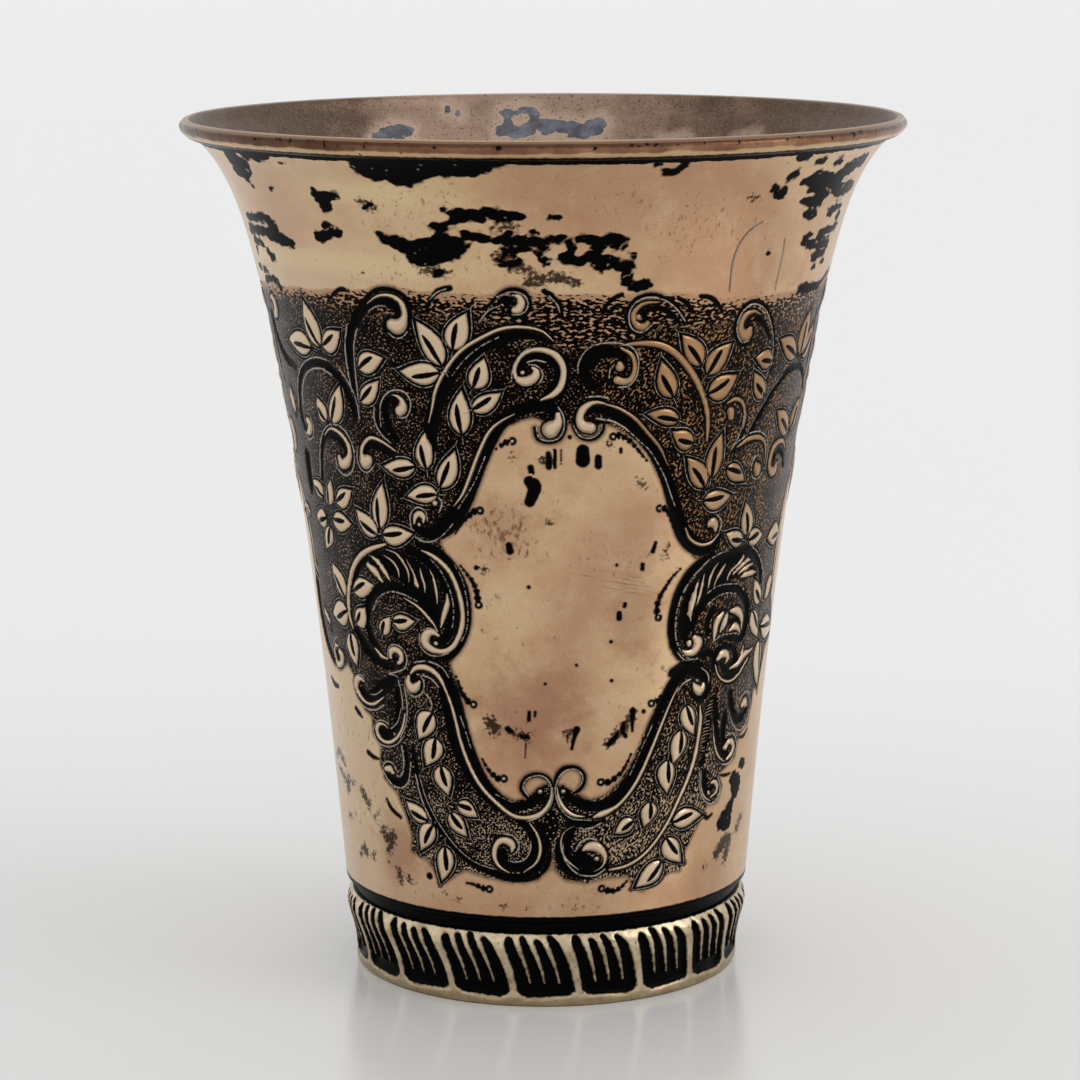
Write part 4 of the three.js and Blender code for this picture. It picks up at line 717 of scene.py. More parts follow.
# Pale dots of the small lattice low on the front
latticeDots = [(0.2, 20.9), (0.7, 20.5), (0.1, 20.1), (0.9, 19.7), (0.4, 19.5), (0.1, 18.9), (0.75, 18.9), (0.4, 18.3)]
for across, up in latticeDots:
    ridges.append([(across, up, 0.09)])

# Ladder of small cross cuts beside the lower right stem
ladder = {"rungs": 21, "low": 25.0, "step": 0.35, "left": 17.45, "lean": 0.065, "bendFrom": 11, "bend": 0.03}
for rung in range(ladder["rungs"]):
    up = ladder["low"] + ladder["step"] * rung
    left = ladder["left"] + ladder["lean"] * rung + ladder["bend"] * max(rung - ladder["bendFrom"], 0) ** 1.4
    wide = 0.5 + 0.3 * math.sin(math.pi * (rung + 1) / (ladder["rungs"] + 1))
    ridges.append([(left, up, 0.03), (left + wide / 2, up + 0.16, 0.055), (left + wide, up + 0.24, 0.03)])

# Spray in the middle of each side: drawn once, laid to the right and to the left
sideLeaves = [
    (44, 64.6, 45.3, 69.6, 1.2), (43.4, 64, 40.4, 67.4, 1.05), (43.1, 63.2, 39.4, 63, .95),
    (42.9, 62.4, 40.2, 59.6, .95), (42.6, 61.8, 41.5, 56.8, 1.1), (41.5, 55.4, 40, 48.6, 1.15),
    (40.6, 54.6, 37.6, 51, .95),
]
sideRidges = [
    [(35.7, 52.6, .06), (34.8, 51, .14), (33.5, 48.8, .17), (32.8, 46.2, .17), (32.4, 43.4, .14), (32.1, 41.6, .06)],
    [(43.4, 63.4, .5)], [(36.4, 52.6, .06), (37.2, 54.2, .14), (38.6, 55.4, .18), (40, 55.8, .14), (41, 55.6, .06)],
    [(39.6, 70.6, .08), (40.4, 72.4, .16), (41.9, 73, .24), (43.2, 72.4, .3), (43.4, 71.3, .5), (42.6, 70.9, .35)],
]
sideHollows = [
    [(36.9, 55.2, .25), (38.2, 56.4, .35), (39.8, 57, .25)],
    [(40.4, 70.4, .2), (41.2, 71.8, .4), (42.2, 72.1, .4), (42.7, 71.6, .2)],
    [(36.2, 62.4, .15), (37.6, 65, .28), (38.3, 68, .3), (38.6, 70.5, .2)],
]
sideLines = [
    [(36.1, 52.9), (35.2, 51.3), (33.9, 48.9), (33.2, 46.4), (32.8, 43.6), (32.4, 41.4)],
    [(39.2, 71), (40.2, 73), (42, 73.6), (43.8, 72.9)], [(36.7, 62.2), (38.1, 64.9), (38.9, 68), (39.2, 70.4)],
    [(36, 53.4), (37, 54.9), (38.4, 55.9), (40, 56.3)],
]
for side in (1, -1):
    leaves += [(side * a, b, side * c, d, half) for a, b, c, d, half in sideLeaves]
    for strokes, sideStrokes in ((ridges, sideRidges), (hollows, sideHollows), (highlightLines, sideLines)):
        strokes += [[(side * across, *other) for across, *other in stroke] for stroke in sideStrokes]

# A short dark stalk behind every leaf, with a painted highlight thread down it
stalk = {"length": 0.22, "threadFrom": 0.06}  # shares of the leaf's length
for a, b, c, d, half in leaves:
    end = (a - stalk["length"] * (c - a), b - stalk["length"] * (d - b))
    thread = (a - stalk["threadFrom"] * (c - a), b - stalk["threadFrom"] * (d - b))
    hollows.append([(a, b, 0.2), (*end, 0.14)])
    highlightLines.append([(*thread, 0.05), (*end, 0.04)])

# Edge of the matted ground, clockwise from the upper left, and the plain panel inside it
groundEdge = [
    (-50, 73.8), (-37, 73.6), (-33, 73.9), (-30, 74), (-26, 74.1), (-20, 74.6), (-14, 74.9), (-8, 74.6), (0, 74.8),
    (8, 74.5), (15, 74.3), (19, 73.4), (24, 73.3), (30, 73.4), (37, 73.6), (50, 73.8), (50, 55.5), (42, 55.5),
    (38, 55), (36.5, 53.5), (35, 51), (33.5, 48.5), (33, 46), (32.6, 43), (32, 40.5), (34.2, 37.2), (35.5, 36.3),
    (33, 35.6), (31, 34.5), (30, 32.3), (28.3, 30.7), (27.6, 31), (27.4, 29.2), (26.6, 27.3), (25, 26.8), (24.2, 26),
    (23.6, 24.2), (22, 23.6), (20.5, 23), (21.2, 21.5), (20.5, 20), (18.7, 20), (18.2, 19.2), (16.5, 17), (15.2, 15),
    (14.9, 13.5), (13.5, 13.6), (12, 12.9), (10.2, 12), (9.3, 12.4), (8.5, 13.9), (6, 13.9), (4, 13.5), (2, 13.9),
    (0.9, 15), (0.4, 17.5), (0.3, 15.2), (-1, 13.9), (-3.5, 13.6), (-6, 14), (-8.5, 14.6), (-9.5, 14), (-10.9, 12.9),
    (-12, 14.2), (-13, 15.2), (-14.9, 15.8), (-14.8, 17.5), (-15.5, 19.5), (-16.3, 20.8), (-16.8, 21.8), (-18, 22.6),
    (-19.2, 24.5), (-19, 26.6), (-20.2, 27.5), (-20.3, 29.5), (-21.5, 30), (-22.9, 31.5), (-23, 33.2), (-24.5, 34.5),
    (-26, 33.6), (-28, 33.6), (-30, 35), (-31.5, 37), (-32.5, 40), (-32.8, 43), (-33.5, 47), (-35, 50.5), (-35.5, 52),
    (-38, 55), (-42, 56), (-50, 56),
]
panelEdge = [
    (-1, 62.4), (-2.3, 62.1), (-3.6, 61.5), (-5, 60.1), (-5.6, 58), (-6.4, 56), (-7.3, 54.4), (-8.4, 52.4),
    (-9.5, 50.5), (-10.9, 49.2), (-10.2, 48), (-9.1, 46.9), (-8.3, 45.5), (-7.7, 43.7), (-7.6, 41.7), (-7.95, 39.6),
    (-8.9, 37.8), (-10, 36.5), (-9.4, 35.1), (-8.9, 34), (-8.6, 31.7), (-8.2, 29.7), (-7.5, 27.9), (-6.8, 26),
    (-5.9, 24.2), (-4.5, 22.9), (-3.2, 22.3), (-2.05, 22.6), (-1.4, 23.2), (-0.2, 24.2), (0.9, 24.3), (2.2, 23.6),
    (3.2, 23.1), (4.5, 22.3), (6.1, 22.75), (7.7, 24.2), (9.1, 26.3), (10, 28.3), (10.9, 30.4), (11.8, 31.95),
    (12.7, 33.3), (13.6, 34.6), (14.8, 35.8), (13.9, 36.7), (13.2, 37.8), (12.95, 39.4), (13.2, 41.45), (13.9, 43.5),
    (14.8, 45.1), (15.9, 46.2), (17.05, 46.8), (16.1, 47), (14.8, 48.3), (13.6, 50.1), (12.95, 52.6), (12.5, 54.4),
    (11.6, 56), (10.4, 58.3), (8.8, 60), (6.8, 61.3), (5.7, 61.6), (4.2, 61.3), (2.6, 61.6), (1.4, 61.5), (0, 61.9),
]


def smoothStroke(points, lineHalf=0.07, steps=6):
    # a soft curve through given points; a line without a half width gets the tracing punch's
    points = np.array([tuple(p) + (lineHalf,) * (3 - len(p)) for p in points], dtype=float)
    if len(points) < 2:
        return np.vstack([points, points + (0.001, 0, 0)])
    run = np.vstack([2 * points[0] - points[1], points, 2 * points[-1] - points[-2]])
    t = np.linspace(0, 1, steps, endpoint=False)[:, None]
    parts = []
    for a, b, c, d in zip(run[:-3], run[1:-2], run[2:-1], run[3:]):
        parts.append(b + 0.5 * t * (c - a + t * (2 * a - 5 * b + 4 * c - d + t * (3 * (b - c) + d - a))))
    path = np.vstack(parts + [points[-1:]])
    path[:, 2] = np.maximum(path[:, 2], 0.005)
    return path


def cutDashes(points, dash=0.42, gap=0.3):
    path = smoothStroke(points)
    along = np.concatenate([[0], np.cumsum(np.hypot(*np.diff(path[:, :2], axis=0).T))])
    dashes = []
    for start in np.arange(0, along[-1] - dash, dash + gap):
        stops = (start, start + dash / 2, start + dash)
        dashes.append([tuple(np.interp(stop, along, path[:, k]) for k in (0, 1)) for stop in stops])
    return dashes


def acrossStroke(path, points, past=0.0):
    # distance to the stroke's middle line, its half width there, and which end is nearest if any
    start, step = path[:-1], np.diff(path, axis=0)
    reach = points[:, None, :] - start[None, :, :2]
    length = (step[:, :2] ** 2).sum(1)
    low, high = np.zeros(len(step)), np.ones(len(step))
    low[0], high[-1] = -past / math.sqrt(length[0]), 1 + past / math.sqrt(length[-1])
    t = np.clip((reach * step[None, :, :2]).sum(2) / length, low, high)
    away = np.hypot(reach[..., 0] - t * step[:, 0], reach[..., 1] - t * step[:, 1])
    width = start[:, 2] + np.clip(t, 0, 1) * step[:, 2]
    best = (away - width).argmin(1)
    rows = np.arange(len(points))
    side = np.sign(step[best, 0] * reach[rows, best, 1] - step[best, 1] * reach[rows, best, 0])
    t = t[rows, best]
    end = np.where((best == len(step) - 1) & (t >= high[-1]), 1, -1)
    end = np.where((best == 0) & (t <= low[0]), 0, end)
    return away[rows, best] * np.where(side < 0, -1, 1), width[rows, best], end


def nearStroke(path, points, room):
    # which points are within the stroke's box and some room round it
    reach = path[:, 2].max() + room
    low, high = path[:, :2].min(0) - reach, path[:, :2].max(0) + reach
    return np.where(((points > low) & (points < high)).all(1))[0]


def layStrokes(strokes, corners, room=1.6, past=0.7, bend=1.2):
    # each face follows the stroke nearest to its middle, so edges stay sharp inside a face
    middles = corners.mean(1)
    nearest = np.full(len(middles), farAway)
    out = np.zeros(corners.shape[:2] + (3,))  # mm across, mm along where the end is round, half width
    out[..., 0] = farAway
    size = np.ptp(corners, axis=1).sum(1)
    for stroke in strokes:
        path = smoothStroke(stroke)
        near = nearStroke(path, middles, room)
        if not len(near):
            continue
        across, width, end = acrossStroke(path, middles[near])
        closer = np.abs(across) - width < nearest[near]
        faces, end = near[closer], end[closer]
        if not len(faces):
            continue
        nearest[faces] = (np.abs(across) - width)[closer]
        across, width, _ = acrossStroke(path, corners[faces].reshape(-1, 2), past)
        across, width = across.reshape(-1, 4), width.reshape(-1, 4)
        folded = np.ptp(across, axis=1) > bend * size[faces]  # faces that lie over a sharp bend
        out[faces, :, 0] = np.where(folded[:, None], np.abs(across), across)
        out[faces, :, 1] = 0
        out[faces, :, 2] = width
        for which, tip in ((0, path[0]), (1, path[-1])):
            atTip = faces[end == which]
            out[atTip, :, :2] = corners[atTip] - tip[:2]
            out[atTip, :, 2] = tip[2]
    return out


def nearerStroke(first, second):
    gaps = [(np.hypot(part[..., 0], part[..., 1]) - part[..., 2]).mean(1) for part in (first, second)]
    return np.where((gaps[0] < gaps[1])[:, None, None], first, second)


def joinStrokes(strokes, corners, room=1.8):
    # mm to the edge of the nearest stroke, joined where strokes meet
    points = corners.reshape(-1, 2)
    away = np.full(len(points), farAway)
    for stroke in strokes:
        path = smoothStroke(stroke)
        near = nearStroke(path, points, room)
        if len(near):
            across, width, _ = acrossStroke(path, points[near])
            away[near] = np.minimum(away[near], np.abs(across) - width)
    return away.reshape(corners.shape[:2])


# A leaf's outline: how full it is, how blunt at stalk and tip, and how far the tip hooks, as shares of its width
leafForm = {"swell": 3.33, "stalkPower": 0.7, "tipPower": 1.1, "hook": 0.5, "none": (0.5, farAway, 1.0, 0.1)}


def leafDistance(share, side, length, half):
    inner = np.clip(share, 0, 1)
    edge = half * leafForm["swell"] * inner ** leafForm["stalkPower"] * (1 - inner) ** leafForm["tipPower"]
    over = np.abs(side) - edge
    return np.hypot(np.maximum(over, 0), np.abs(share - inner) * length) + np.minimum(over, 0)


def leafPlace(points, stem, way, length, hook):
    # share of the way to the tip, and mm to the side of the hooked middle line
    off = points - stem
    share = (off * way).sum(-1) / length
    side = off[..., 1] * way[0] - off[..., 0] * way[1]
    return share, side - hook * np.clip(share, 0, 1.2) ** 3


def layLeaves(corners, room=1.6):
    # each face follows the leaf nearest to its middle; tips hook left and right by turns
    middles = corners.mean(1)
    nearest = np.full(len(middles), farAway)
    out = np.ones(corners.shape[:2] + (4,)) * leafForm["none"]
    for count, (a, b, c, d, half) in enumerate(leaves):
        length = math.hypot(c - a, d - b)
        way = np.array([(c - a) / length, (d - b) / length])
        hook = half * leafForm["hook"] * (1 if count % 2 else -1)
        near = np.where(np.hypot(*(middles - ((a + c) / 2, (b + d) / 2)).T) < length / 2 + room)[0]
        away = leafDistance(*leafPlace(middles[near], (a, b), way, length, hook), length, half)
        closer = away < nearest[near]
        faces = near[closer]
        nearest[faces] = away[closer]
        share, side = leafPlace(corners[faces], (a, b), way, length, hook)
        out[faces] = np.stack([share, side, np.full_like(share, length), np.full_like(share, half)], -1)
    return out


def edgeDistance(outline, points):
    # signed distance to a closed outline, less than 0 inside
    start = np.array(outline, dtype=float)
    step = np.roll(start, -1, 0) - start
    best, inside = np.full(len(points), 99.0), np.zeros(len(points), dtype=bool)
    for (a, b), (c, d) in zip(start, step):
        x, y = points[:, 0] - a, points[:, 1] - b
        t = np.clip((x * c + y * d) / (c * c + d * d), 0, 1)
        best = np.minimum(best, np.hypot(x - t * c, y - t * d))
        if d:
            inside ^= ((b > points[:, 1]) != (b + d > points[:, 1])) & (x < c * y / d)
    return np.where(inside, -best, best)


# Cup body: one spun section, with the wall thin enough to hold and the ornament raised on it
heights = np.concatenate([
    cup["footRings"], np.arange(cup["chasedFrom"], cup["chasedTo"], cup["chasedStep"]),
    np.linspace(cup["chasedTo"], cup["neckTo"], cup["neckRings"]), cup["lipRings"],
])
outerWall = list(zip(wallRadius(heights), heights))
innerHeights = np.array(cup["mouthRings"] + cup["innerRings"])
thickness = cup["wall"] * (1 + cup["wallGrowth"] * ((innerHeights - cup["foot"]) / cup["rise"]) ** 2)
innerWall = list(zip(wallRadius(innerHeights) - thickness, innerHeights))
section = cup["footOuter"] + outerWall + cup["lipTurn"] + innerWall + cup["footInner"]
cupBody = spinSection("chasedCupBody", section, cup["columns"])
places, corners = readMesh(cupBody)
radius = np.hypot(places[:, 0], places[:, 1])
angles = aroundFaces(places, corners)
faceHeight = places[:, 2][corners]
middleHeight, middleRadius, middleAngle = faceHeight.mean(1), radius[corners].mean(1), angles.mean(1)
isOuter = middleRadius > wallRadius(middleHeight) - cup["wall"] / 2
isOuter |= middleHeight < cup["foot"]
isOuter |= (middleRadius > cup["lipOutside"][0]) & (middleHeight > cup["lipOutside"][1])
print("cup body spun:", len(corners), "faces")

# The back carries the same ornament as the front, turned over like a print, with stains of its own
onBack = np.abs(middleAngle) > math.pi / 2
frontAngle = np.where(onBack[:, None], np.sign(middleAngle)[:, None] * math.pi - angles, angles)
unrolled = np.stack([frontAngle * wallRadius(faceHeight), faceHeight], -1)
chased = np.where(isOuter & (middleHeight > cup["ornamentFrom"]) & (middleHeight < cup["ornamentTo"]))[0]
flat = unrolled[chased]
outOfReach = np.array([1000.0, 0.0])  # moves the other half of the wall away from every stroke
frontOnly = flat + outOfReach * onBack[chased][:, None, None]
backOnly = flat * (-1, 1) + outOfReach * ~onBack[chased][:, None, None]
leafParts = layLeaves(flat)
ridgeParts = layStrokes(ridges, flat)
hollowParts = layStrokes(hollows, flat)
dashes = [dash for path in dashedLines for dash in cutDashes(path)]
# pale lines and the repair's line: painted highlights
lineParts = nearerStroke(layStrokes(highlightLines + dashes, flat), layStrokes(repairHighlight, frontOnly))
# dark marks and spots, with the repair's painted shade
markParts = nearerStroke(layStrokes(marks, flat), layStrokes(panelSpots + repairPaintedShade, frontOnly))
markParts = nearerStroke(markParts, layStrokes(panelSpots[1::2], backOnly))
stainAway = np.minimum(joinStrokes(tarnish, frontOnly), joinStrokes(tarnish[1::2], backOnly))
smudgeAway = np.minimum(joinStrokes(smudges, frontOnly), joinStrokes(smudges, backOnly))
blushAway = np.minimum(joinStrokes(blush, frontOnly, 8.0), joinStrokes(blush, backOnly, 8.0))
flatPoints = flat.reshape(-1, 2)
groundAway = np.maximum(edgeDistance(groundEdge, flatPoints), -edgeDistance(panelEdge, flatPoints)).reshape(-1, 4)
insideFaces = np.where(~isOuter & (middleHeight > cup["mouthFrom"]) & onBack)[0]
insideStain = joinStrokes(innerTarnish, unrolled[insideFaces])
print("ornament laid out:", len(leaves), "leaves,", len(ridges + hollows + highlightLines), "strokes")

# Relief: domed leaves and ridges, round hollows, and the ground a little lower than the plain silver
# Strokes finer than the mesh stay level with their hollow
relief = {
    "leafCrown": 0.2, "leafRound": 0.7, "ridgeCrown": 0.16, "ridgeLeast": 0.1, "ridgeFrom": 0.12, "ridgeBlend": 0.16,
    "hollowDepth": 0.26, "hollowLeast": 0.2, "hollowFull": 0.6, "groundDepth": 0.09, "groundRound": 0.4,
}
leafAway = leafDistance(*np.moveaxis(leafParts, -1, 0))
ridgeAway, ridgeWidth = np.hypot(ridgeParts[..., 0], ridgeParts[..., 1]), ridgeParts[..., 2]
hollowAway, hollowWidth = np.hypot(hollowParts[..., 0], hollowParts[..., 1]), hollowParts[..., 2]
leafDome = relief["leafCrown"] * np.sqrt(np.clip(-leafAway / relief["leafRound"], 0, 1))
ridgeDome = relief["ridgeCrown"] * np.clip(1 - (ridgeAway / np.maximum(ridgeWidth, relief["ridgeLeast"])) ** 2, 0, 1)
hollowDip = relief["hollowDepth"] * np.minimum(1, hollowWidth / relief["hollowFull"])
hollowDip = hollowDip * np.clip(1 - (hollowAway / np.maximum(hollowWidth, relief["hollowLeast"])) ** 2, 0, 1)
groundDip = relief["groundDepth"] * np.clip(-groundAway / relief["groundRound"], 0, 1)
raised = np.clip((ridgeWidth - relief["ridgeFrom"]) / relief["ridgeBlend"], 0, 1)
raised = np.where(ridgeAway < ridgeWidth, raised, 0)
rises = np.where(leafAway < 0, leafDome, ridgeDome * raised - hollowDip * (1 - raised)) - groundDip
lift, shares = np.zeros(len(places)), np.zeros(len(places))
np.add.at(lift, corners[chased].ravel(), rises.ravel())
np.add.at(shares, corners[chased].ravel(), 1)
lift /= np.maximum(shares, 1)
outward = places[:, :2] / radius[:, None]
places[:, :2] += outward * lift[:, None]
writePlaces(cupBody, places)

# What the silver's finish reads at each face corner
blank = np.ones((len(corners), 4, 4))
strokeParts = {"ridgeShape": ridgeParts, "hollowShape": hollowParts, "lineShape": lineParts, "markShape": markParts}
shapes = {name: blank * (farAway, 0, 0, 1) for name in strokeParts}
for name, parts in strokeParts.items():
    shapes[name][chased, :, :3] = parts
shapes["hollowShape"][..., 3] = farAway
shapes["hollowShape"][chased, :, 3] = blushAway
shapes["leafShape"] = blank * leafForm["none"]
shapes["leafShape"][chased] = leafParts
wear = blank * (farAway, farAway, 0, farAway)  # stain, ground, 1 inside the cup, smudge
wear[chased, :, 0], wear[chased, :, 1], wear[chased, :, 3] = stainAway, groundAway, smudgeAway
wear[insideFaces, :, 0] = insideStain
wear[~isOuter, :, 2] = 1
shapes["wearShape"] = wear
for name, values in shapes.items():
    writeCorners(cupBody, name, values)
writeMap(cupBody, "wallMm", np.stack([angles * cup["mapRadius"], faceHeight], -1))

# Map for baking: the outside of the wall above, the inside below, as shares of the picture
bakeMap = {"left": 0.005, "wide": 0.99, "outer": (0.37, 0.62), "inner": (0.01, 0.34), "low": 0.7, "tall": 89.4}
share = (angles + math.pi) / math.tau
share = np.where(share.max(1, keepdims=True) > 1.0001, share - np.floor(share.min(1, keepdims=True)), share)
bakeAcross = bakeMap["left"] + bakeMap["wide"] * np.clip(share, 0, 1)
rise = (faceHeight - bakeMap["low"]) / bakeMap["tall"]
bakeOuter, bakeInner = (low + tall * rise for low, tall in (bakeMap["outer"], bakeMap["inner"]))
writeMap(cupBody, "OFBake", np.stack([bakeAcross, np.where(isOuter[:, None], bakeOuter, bakeInner)], -1))

# Old silver, raised and chased: rubbed warm and pale on the high places, a black sulphide film left in the low ones
wallFinish = {
    "colours": {
        "silver": "#cda781", "blush": "#b48669", "rubbed": "#d9ba91", "creamAndLight": "#dac6aa", "paintedSheen": "#e2c99f",
        "lipBrown": "#7d5c48", "highlightLine": "#b0a79b", "black": "#020202", "grimeAndShade": "#452f21", "smudge": "#22140d",
        "rust": "#5c3219", "film": "#93634e", "leafPale": "#d8bfa0", "leafBrown": "#a9835d",
        "groundDark": "#0d0907", "groundLight": "#987b62", "groundBrown": "#9d7753", "groundPale": "#c3ad90",
        "inner": "#9c8371", "innerDeep": "#e4dccf", "innerDarkAndShade": "#5c4a3e", "innerPale": "#c3ab99",
        "innerStain": "#57555a", "innerBlue": "#797d88",
    },
    "patterns": {  # place, stretch, grains in a mm, detail, roughness; a punch mark is 0.22 mm wide
        "fine": ("flat", (1, 1, 1), 2.4, 3, 0.5), "rag": ("flat", (0.75, 1, 1), 0.9, 5, 0.6),
        "gaps": ("flat", (0.75, 1, 1), 1.5, 1, 0.5), "broad": ("object", (0.6, 0.6, 1), 0.14, 4, 0.6),
        "wipes": ("object", (0.25, 0.25, 1), 0.5, 5, 0.5), "clouds": ("object", (1, 1, 1), 0.3, 7, 0.68),
        "dirt": ("object", (1, 1, 0.6), 2, 4, 0.65), "grain": ("object", (1, 1, 1), 4.5, 4, 0.7),
        "punch": ("flat", (1, 1, 1), 1 / 0.22, 1.5, 0.5), "punchRight": ("turned", (1, 1, 1), 1 / 0.22, 1.5, 0.5),
        "patches": ("flat", (1, 1, 1), 0.45, 3, 0.5), "dashes": ("flat", (0.6, 1, 1), 3.6, 1, 0.4),
        "freckles": ("flat", (1, 1, 1), 3, 2, 0.5), "scuffs": ("scuffed", (0.05, 1, 1), 4.2, 2, 0.5),
        "mottle": ("object", (1, 1, 1), 0.3, 7, 0.7), "pits": ("object", (1, 1, 1), 3.4, 2, 0.5),
    },
    "lobes": ((0.75, 1, 1), 1.5),  # stretch and cells in a mm, for the lobed edges of stains
    "films": [  # (across, up, half width, half height, strength)
        (-1.5, 32, 9, 5.5, 0.5), (9.5, 42, 4, 6, 0.4), (-18.5, 16, 6, 4, 0.5), (-4.2, 51, 5, 5, 0.3),
    ],
    "rustAt": (-4.2, 50.5, 0), "scuffsAt": (7.5, 45.2, 0), "scuffsTurn": 0.2, "punchTurn": 0.95,
    "sheenAt": (84.4, 77.2),
    "footSeam": (9.98, 9.84), "rimSeam": (87.56, 87.62), "lipFrom": (89.3, 89.4), "topWorn": (71.6, 73.2),
    "roughness": 0.2, "roughGround": 0.12, "roughInside": 0.2, "sootDulls": 0.97, "specular": 0.03,
}


def readStroke(layer):
    parts = add("VertexColor", layer_name=layer)
    away = add("VectorMath LENGTH", add("VectorMath MULTIPLY", parts, (1, 1, 0)), out="Value")
    return away, add("SeparateColor", parts, out=2)


def wallPlaces():
    # where a point of the wall is, in mm: unrolled, on the cup, and turned for the punches and the scuffs
    flat, onCup = add("UVMap", uv_map="wallMm"), objectPlace()
    across, up = (add("SeparateXYZ", flat, out=k) for k in (0, 1))
    turn = {"Vector": flat, "Rotation": (0, 0, wallFinish["punchTurn"]), "Scale": (1.5, 1, 1)}
    scuffed = add("VectorMath SUBTRACT", flat, wallFinish["scuffsAt"])
    return {
        "flat": flat, "across": across, "up": up, "object": onCup, "right": add("SeparateXYZ", onCup),
        "turned": add("Mapping", turn, vector_type="TEXTURE"),
        "scuffed": add("Mapping", {"Vector": scuffed, "Rotation": (0, 0, wallFinish["scuffsTurn"])}),
    }


def wallPatterns(at):
    noise = {}
    for name, (place, stretch, perMm, detail, roughness) in wallFinish["patterns"].items():
        place = add("VectorMath MULTIPLY", at[place], stretch)
        noise[name] = add("TexNoise", {"Vector": place, "Scale": perMm, "Detail": detail, "Roughness": roughness})
    noise["wobble"] = add("MULTIPLY_ADD", noise["fine"], 0.14, -0.07)  # mm, on every edge cut by hand
    noise["rag"] = add("MULTIPLY_ADD", noise["rag"], 1.6, -0.8)  # mm, on the edges of stains
    stretch, perMm = wallFinish["lobes"]
    stretched = add("VectorMath MULTIPLY", at["flat"], stretch)
    lobes = add("TexVoronoi", {"Vector": stretched, "Scale": perMm}, voronoi_dimensions="2D")
    noise["lobes"] = add("MULTIPLY_ADD", noise["fine"], 0.22, add("MULTIPLY_ADD", lobes, 0.42, -0.28))
    return noise


def leafEdge(share, half):
    # half width of a leaf's outline, as in leafDistance
    blunt = add("POWER", add("SUBTRACT", 1, share), leafForm["tipPower"])
    edge = add("MULTIPLY", add("POWER", share, leafForm["stalkPower"]), blunt)
    return add("MULTIPLY", add("MULTIPLY", edge, leafForm["swell"]), half)


def cutLeaves(noise):
    # leaf outline, the dark groove round it with a painted highlight line along it, and the split punched down its
    # middle
    leaf = add("VertexColor", layer_name="leafShape", out=None)
    along, side, length = (add("SeparateColor", leaf.outputs[0], out=k) for k in range(3))
    half = leaf.outputs[1]
    inside = add("Clamp", along, 0, 1)
    over = add("SUBTRACT", add("ABSOLUTE", side), leafEdge(inside, half))
    past = add("MULTIPLY", add("SUBTRACT", along, inside), length)
    outside = add("MAXIMUM", over, 0)
    leafD = add("SQRT", add("ADD", add("MULTIPLY", outside, outside), add("MULTIPLY", past, past)))
    leafD = add("ADD", add("ADD", leafD, add("MINIMUM", over, 0)), noise["wobble"])
    fill = add("SMOOTH", leafD, 0.04, -0.05)
    ringX = add("Clamp", add("MULTIPLY_ADD", along, 0.82, 0.06), 0, 1)
    ringD = add("SUBTRACT", add("ABSOLUTE", side), leafEdge(ringX, add("ADD", half, 0.3)))
    ringD = add("MULTIPLY_ADD", noise["wobble"], 0.5, ringD)
    span = add("MULTIPLY", add("MapRange", along, 1.24, 1.2), add("MapRange", along, -0.1, -0.06))
    ring = add("MULTIPLY", add("SMOOTH", ringD, 0.4, 0.12), span)
    ring = add("MAXIMUM", ring, add("SMOOTH", leafD, 0.65, 0.4))
    # painted highlight down the middle of the dark groove
    highlightLine = add("SMOOTH", add("ABSOLUTE", ringD), 0.09, 0.02)
    highlightLine = add("MULTIPLY", highlightLine, add("MapRange", noise["fine"], 0.3, 0.6, 0.2, 1))
    highlightLine = add("MULTIPLY", highlightLine, span)
    slotHalf = add("SQRT", add("MAXIMUM", add("SUBTRACT", 0.7, inside), 0))
    slotHalf = add("MULTIPLY", slotHalf, add("MULTIPLY_ADD", inside, 0.95, 0.2))
    bend = add("MULTIPLY", add("MULTIPLY", inside, half), 0.42)
    slotD = add("ADD", add("ABSOLUTE", add("SUBTRACT", side, bend)), noise["wobble"])
    slotD = add("SUBTRACT", slotD, add("SUBTRACT", slotHalf, 0.04))
    slot = add("MULTIPLY", add("SMOOTH", slotD, 0.07, -0.05), fill)
    return leafD, fill, ring, highlightLine, slot


def seamsAndRimShadow(at, noise):
    # black seams where the foot ring and the rim wire are soldered on; below the rim wire the black is partly painted
    # shadow
    low = add("ADD", at["up"], add("MULTIPLY", noise["rag"], 0.15))
    low = add("SMOOTH", low, *wallFinish["footSeam"])
    high = add("ADD", at["up"], add("MULTIPLY", noise["rag"], 0.4))
    high = add("SMOOTH", high, *wallFinish["rimSeam"])
    high = add("MULTIPLY", high, add("MapRange", at["up"], *reversed(wallFinish["lipFrom"])))
    return add("MAXIMUM", low, high)


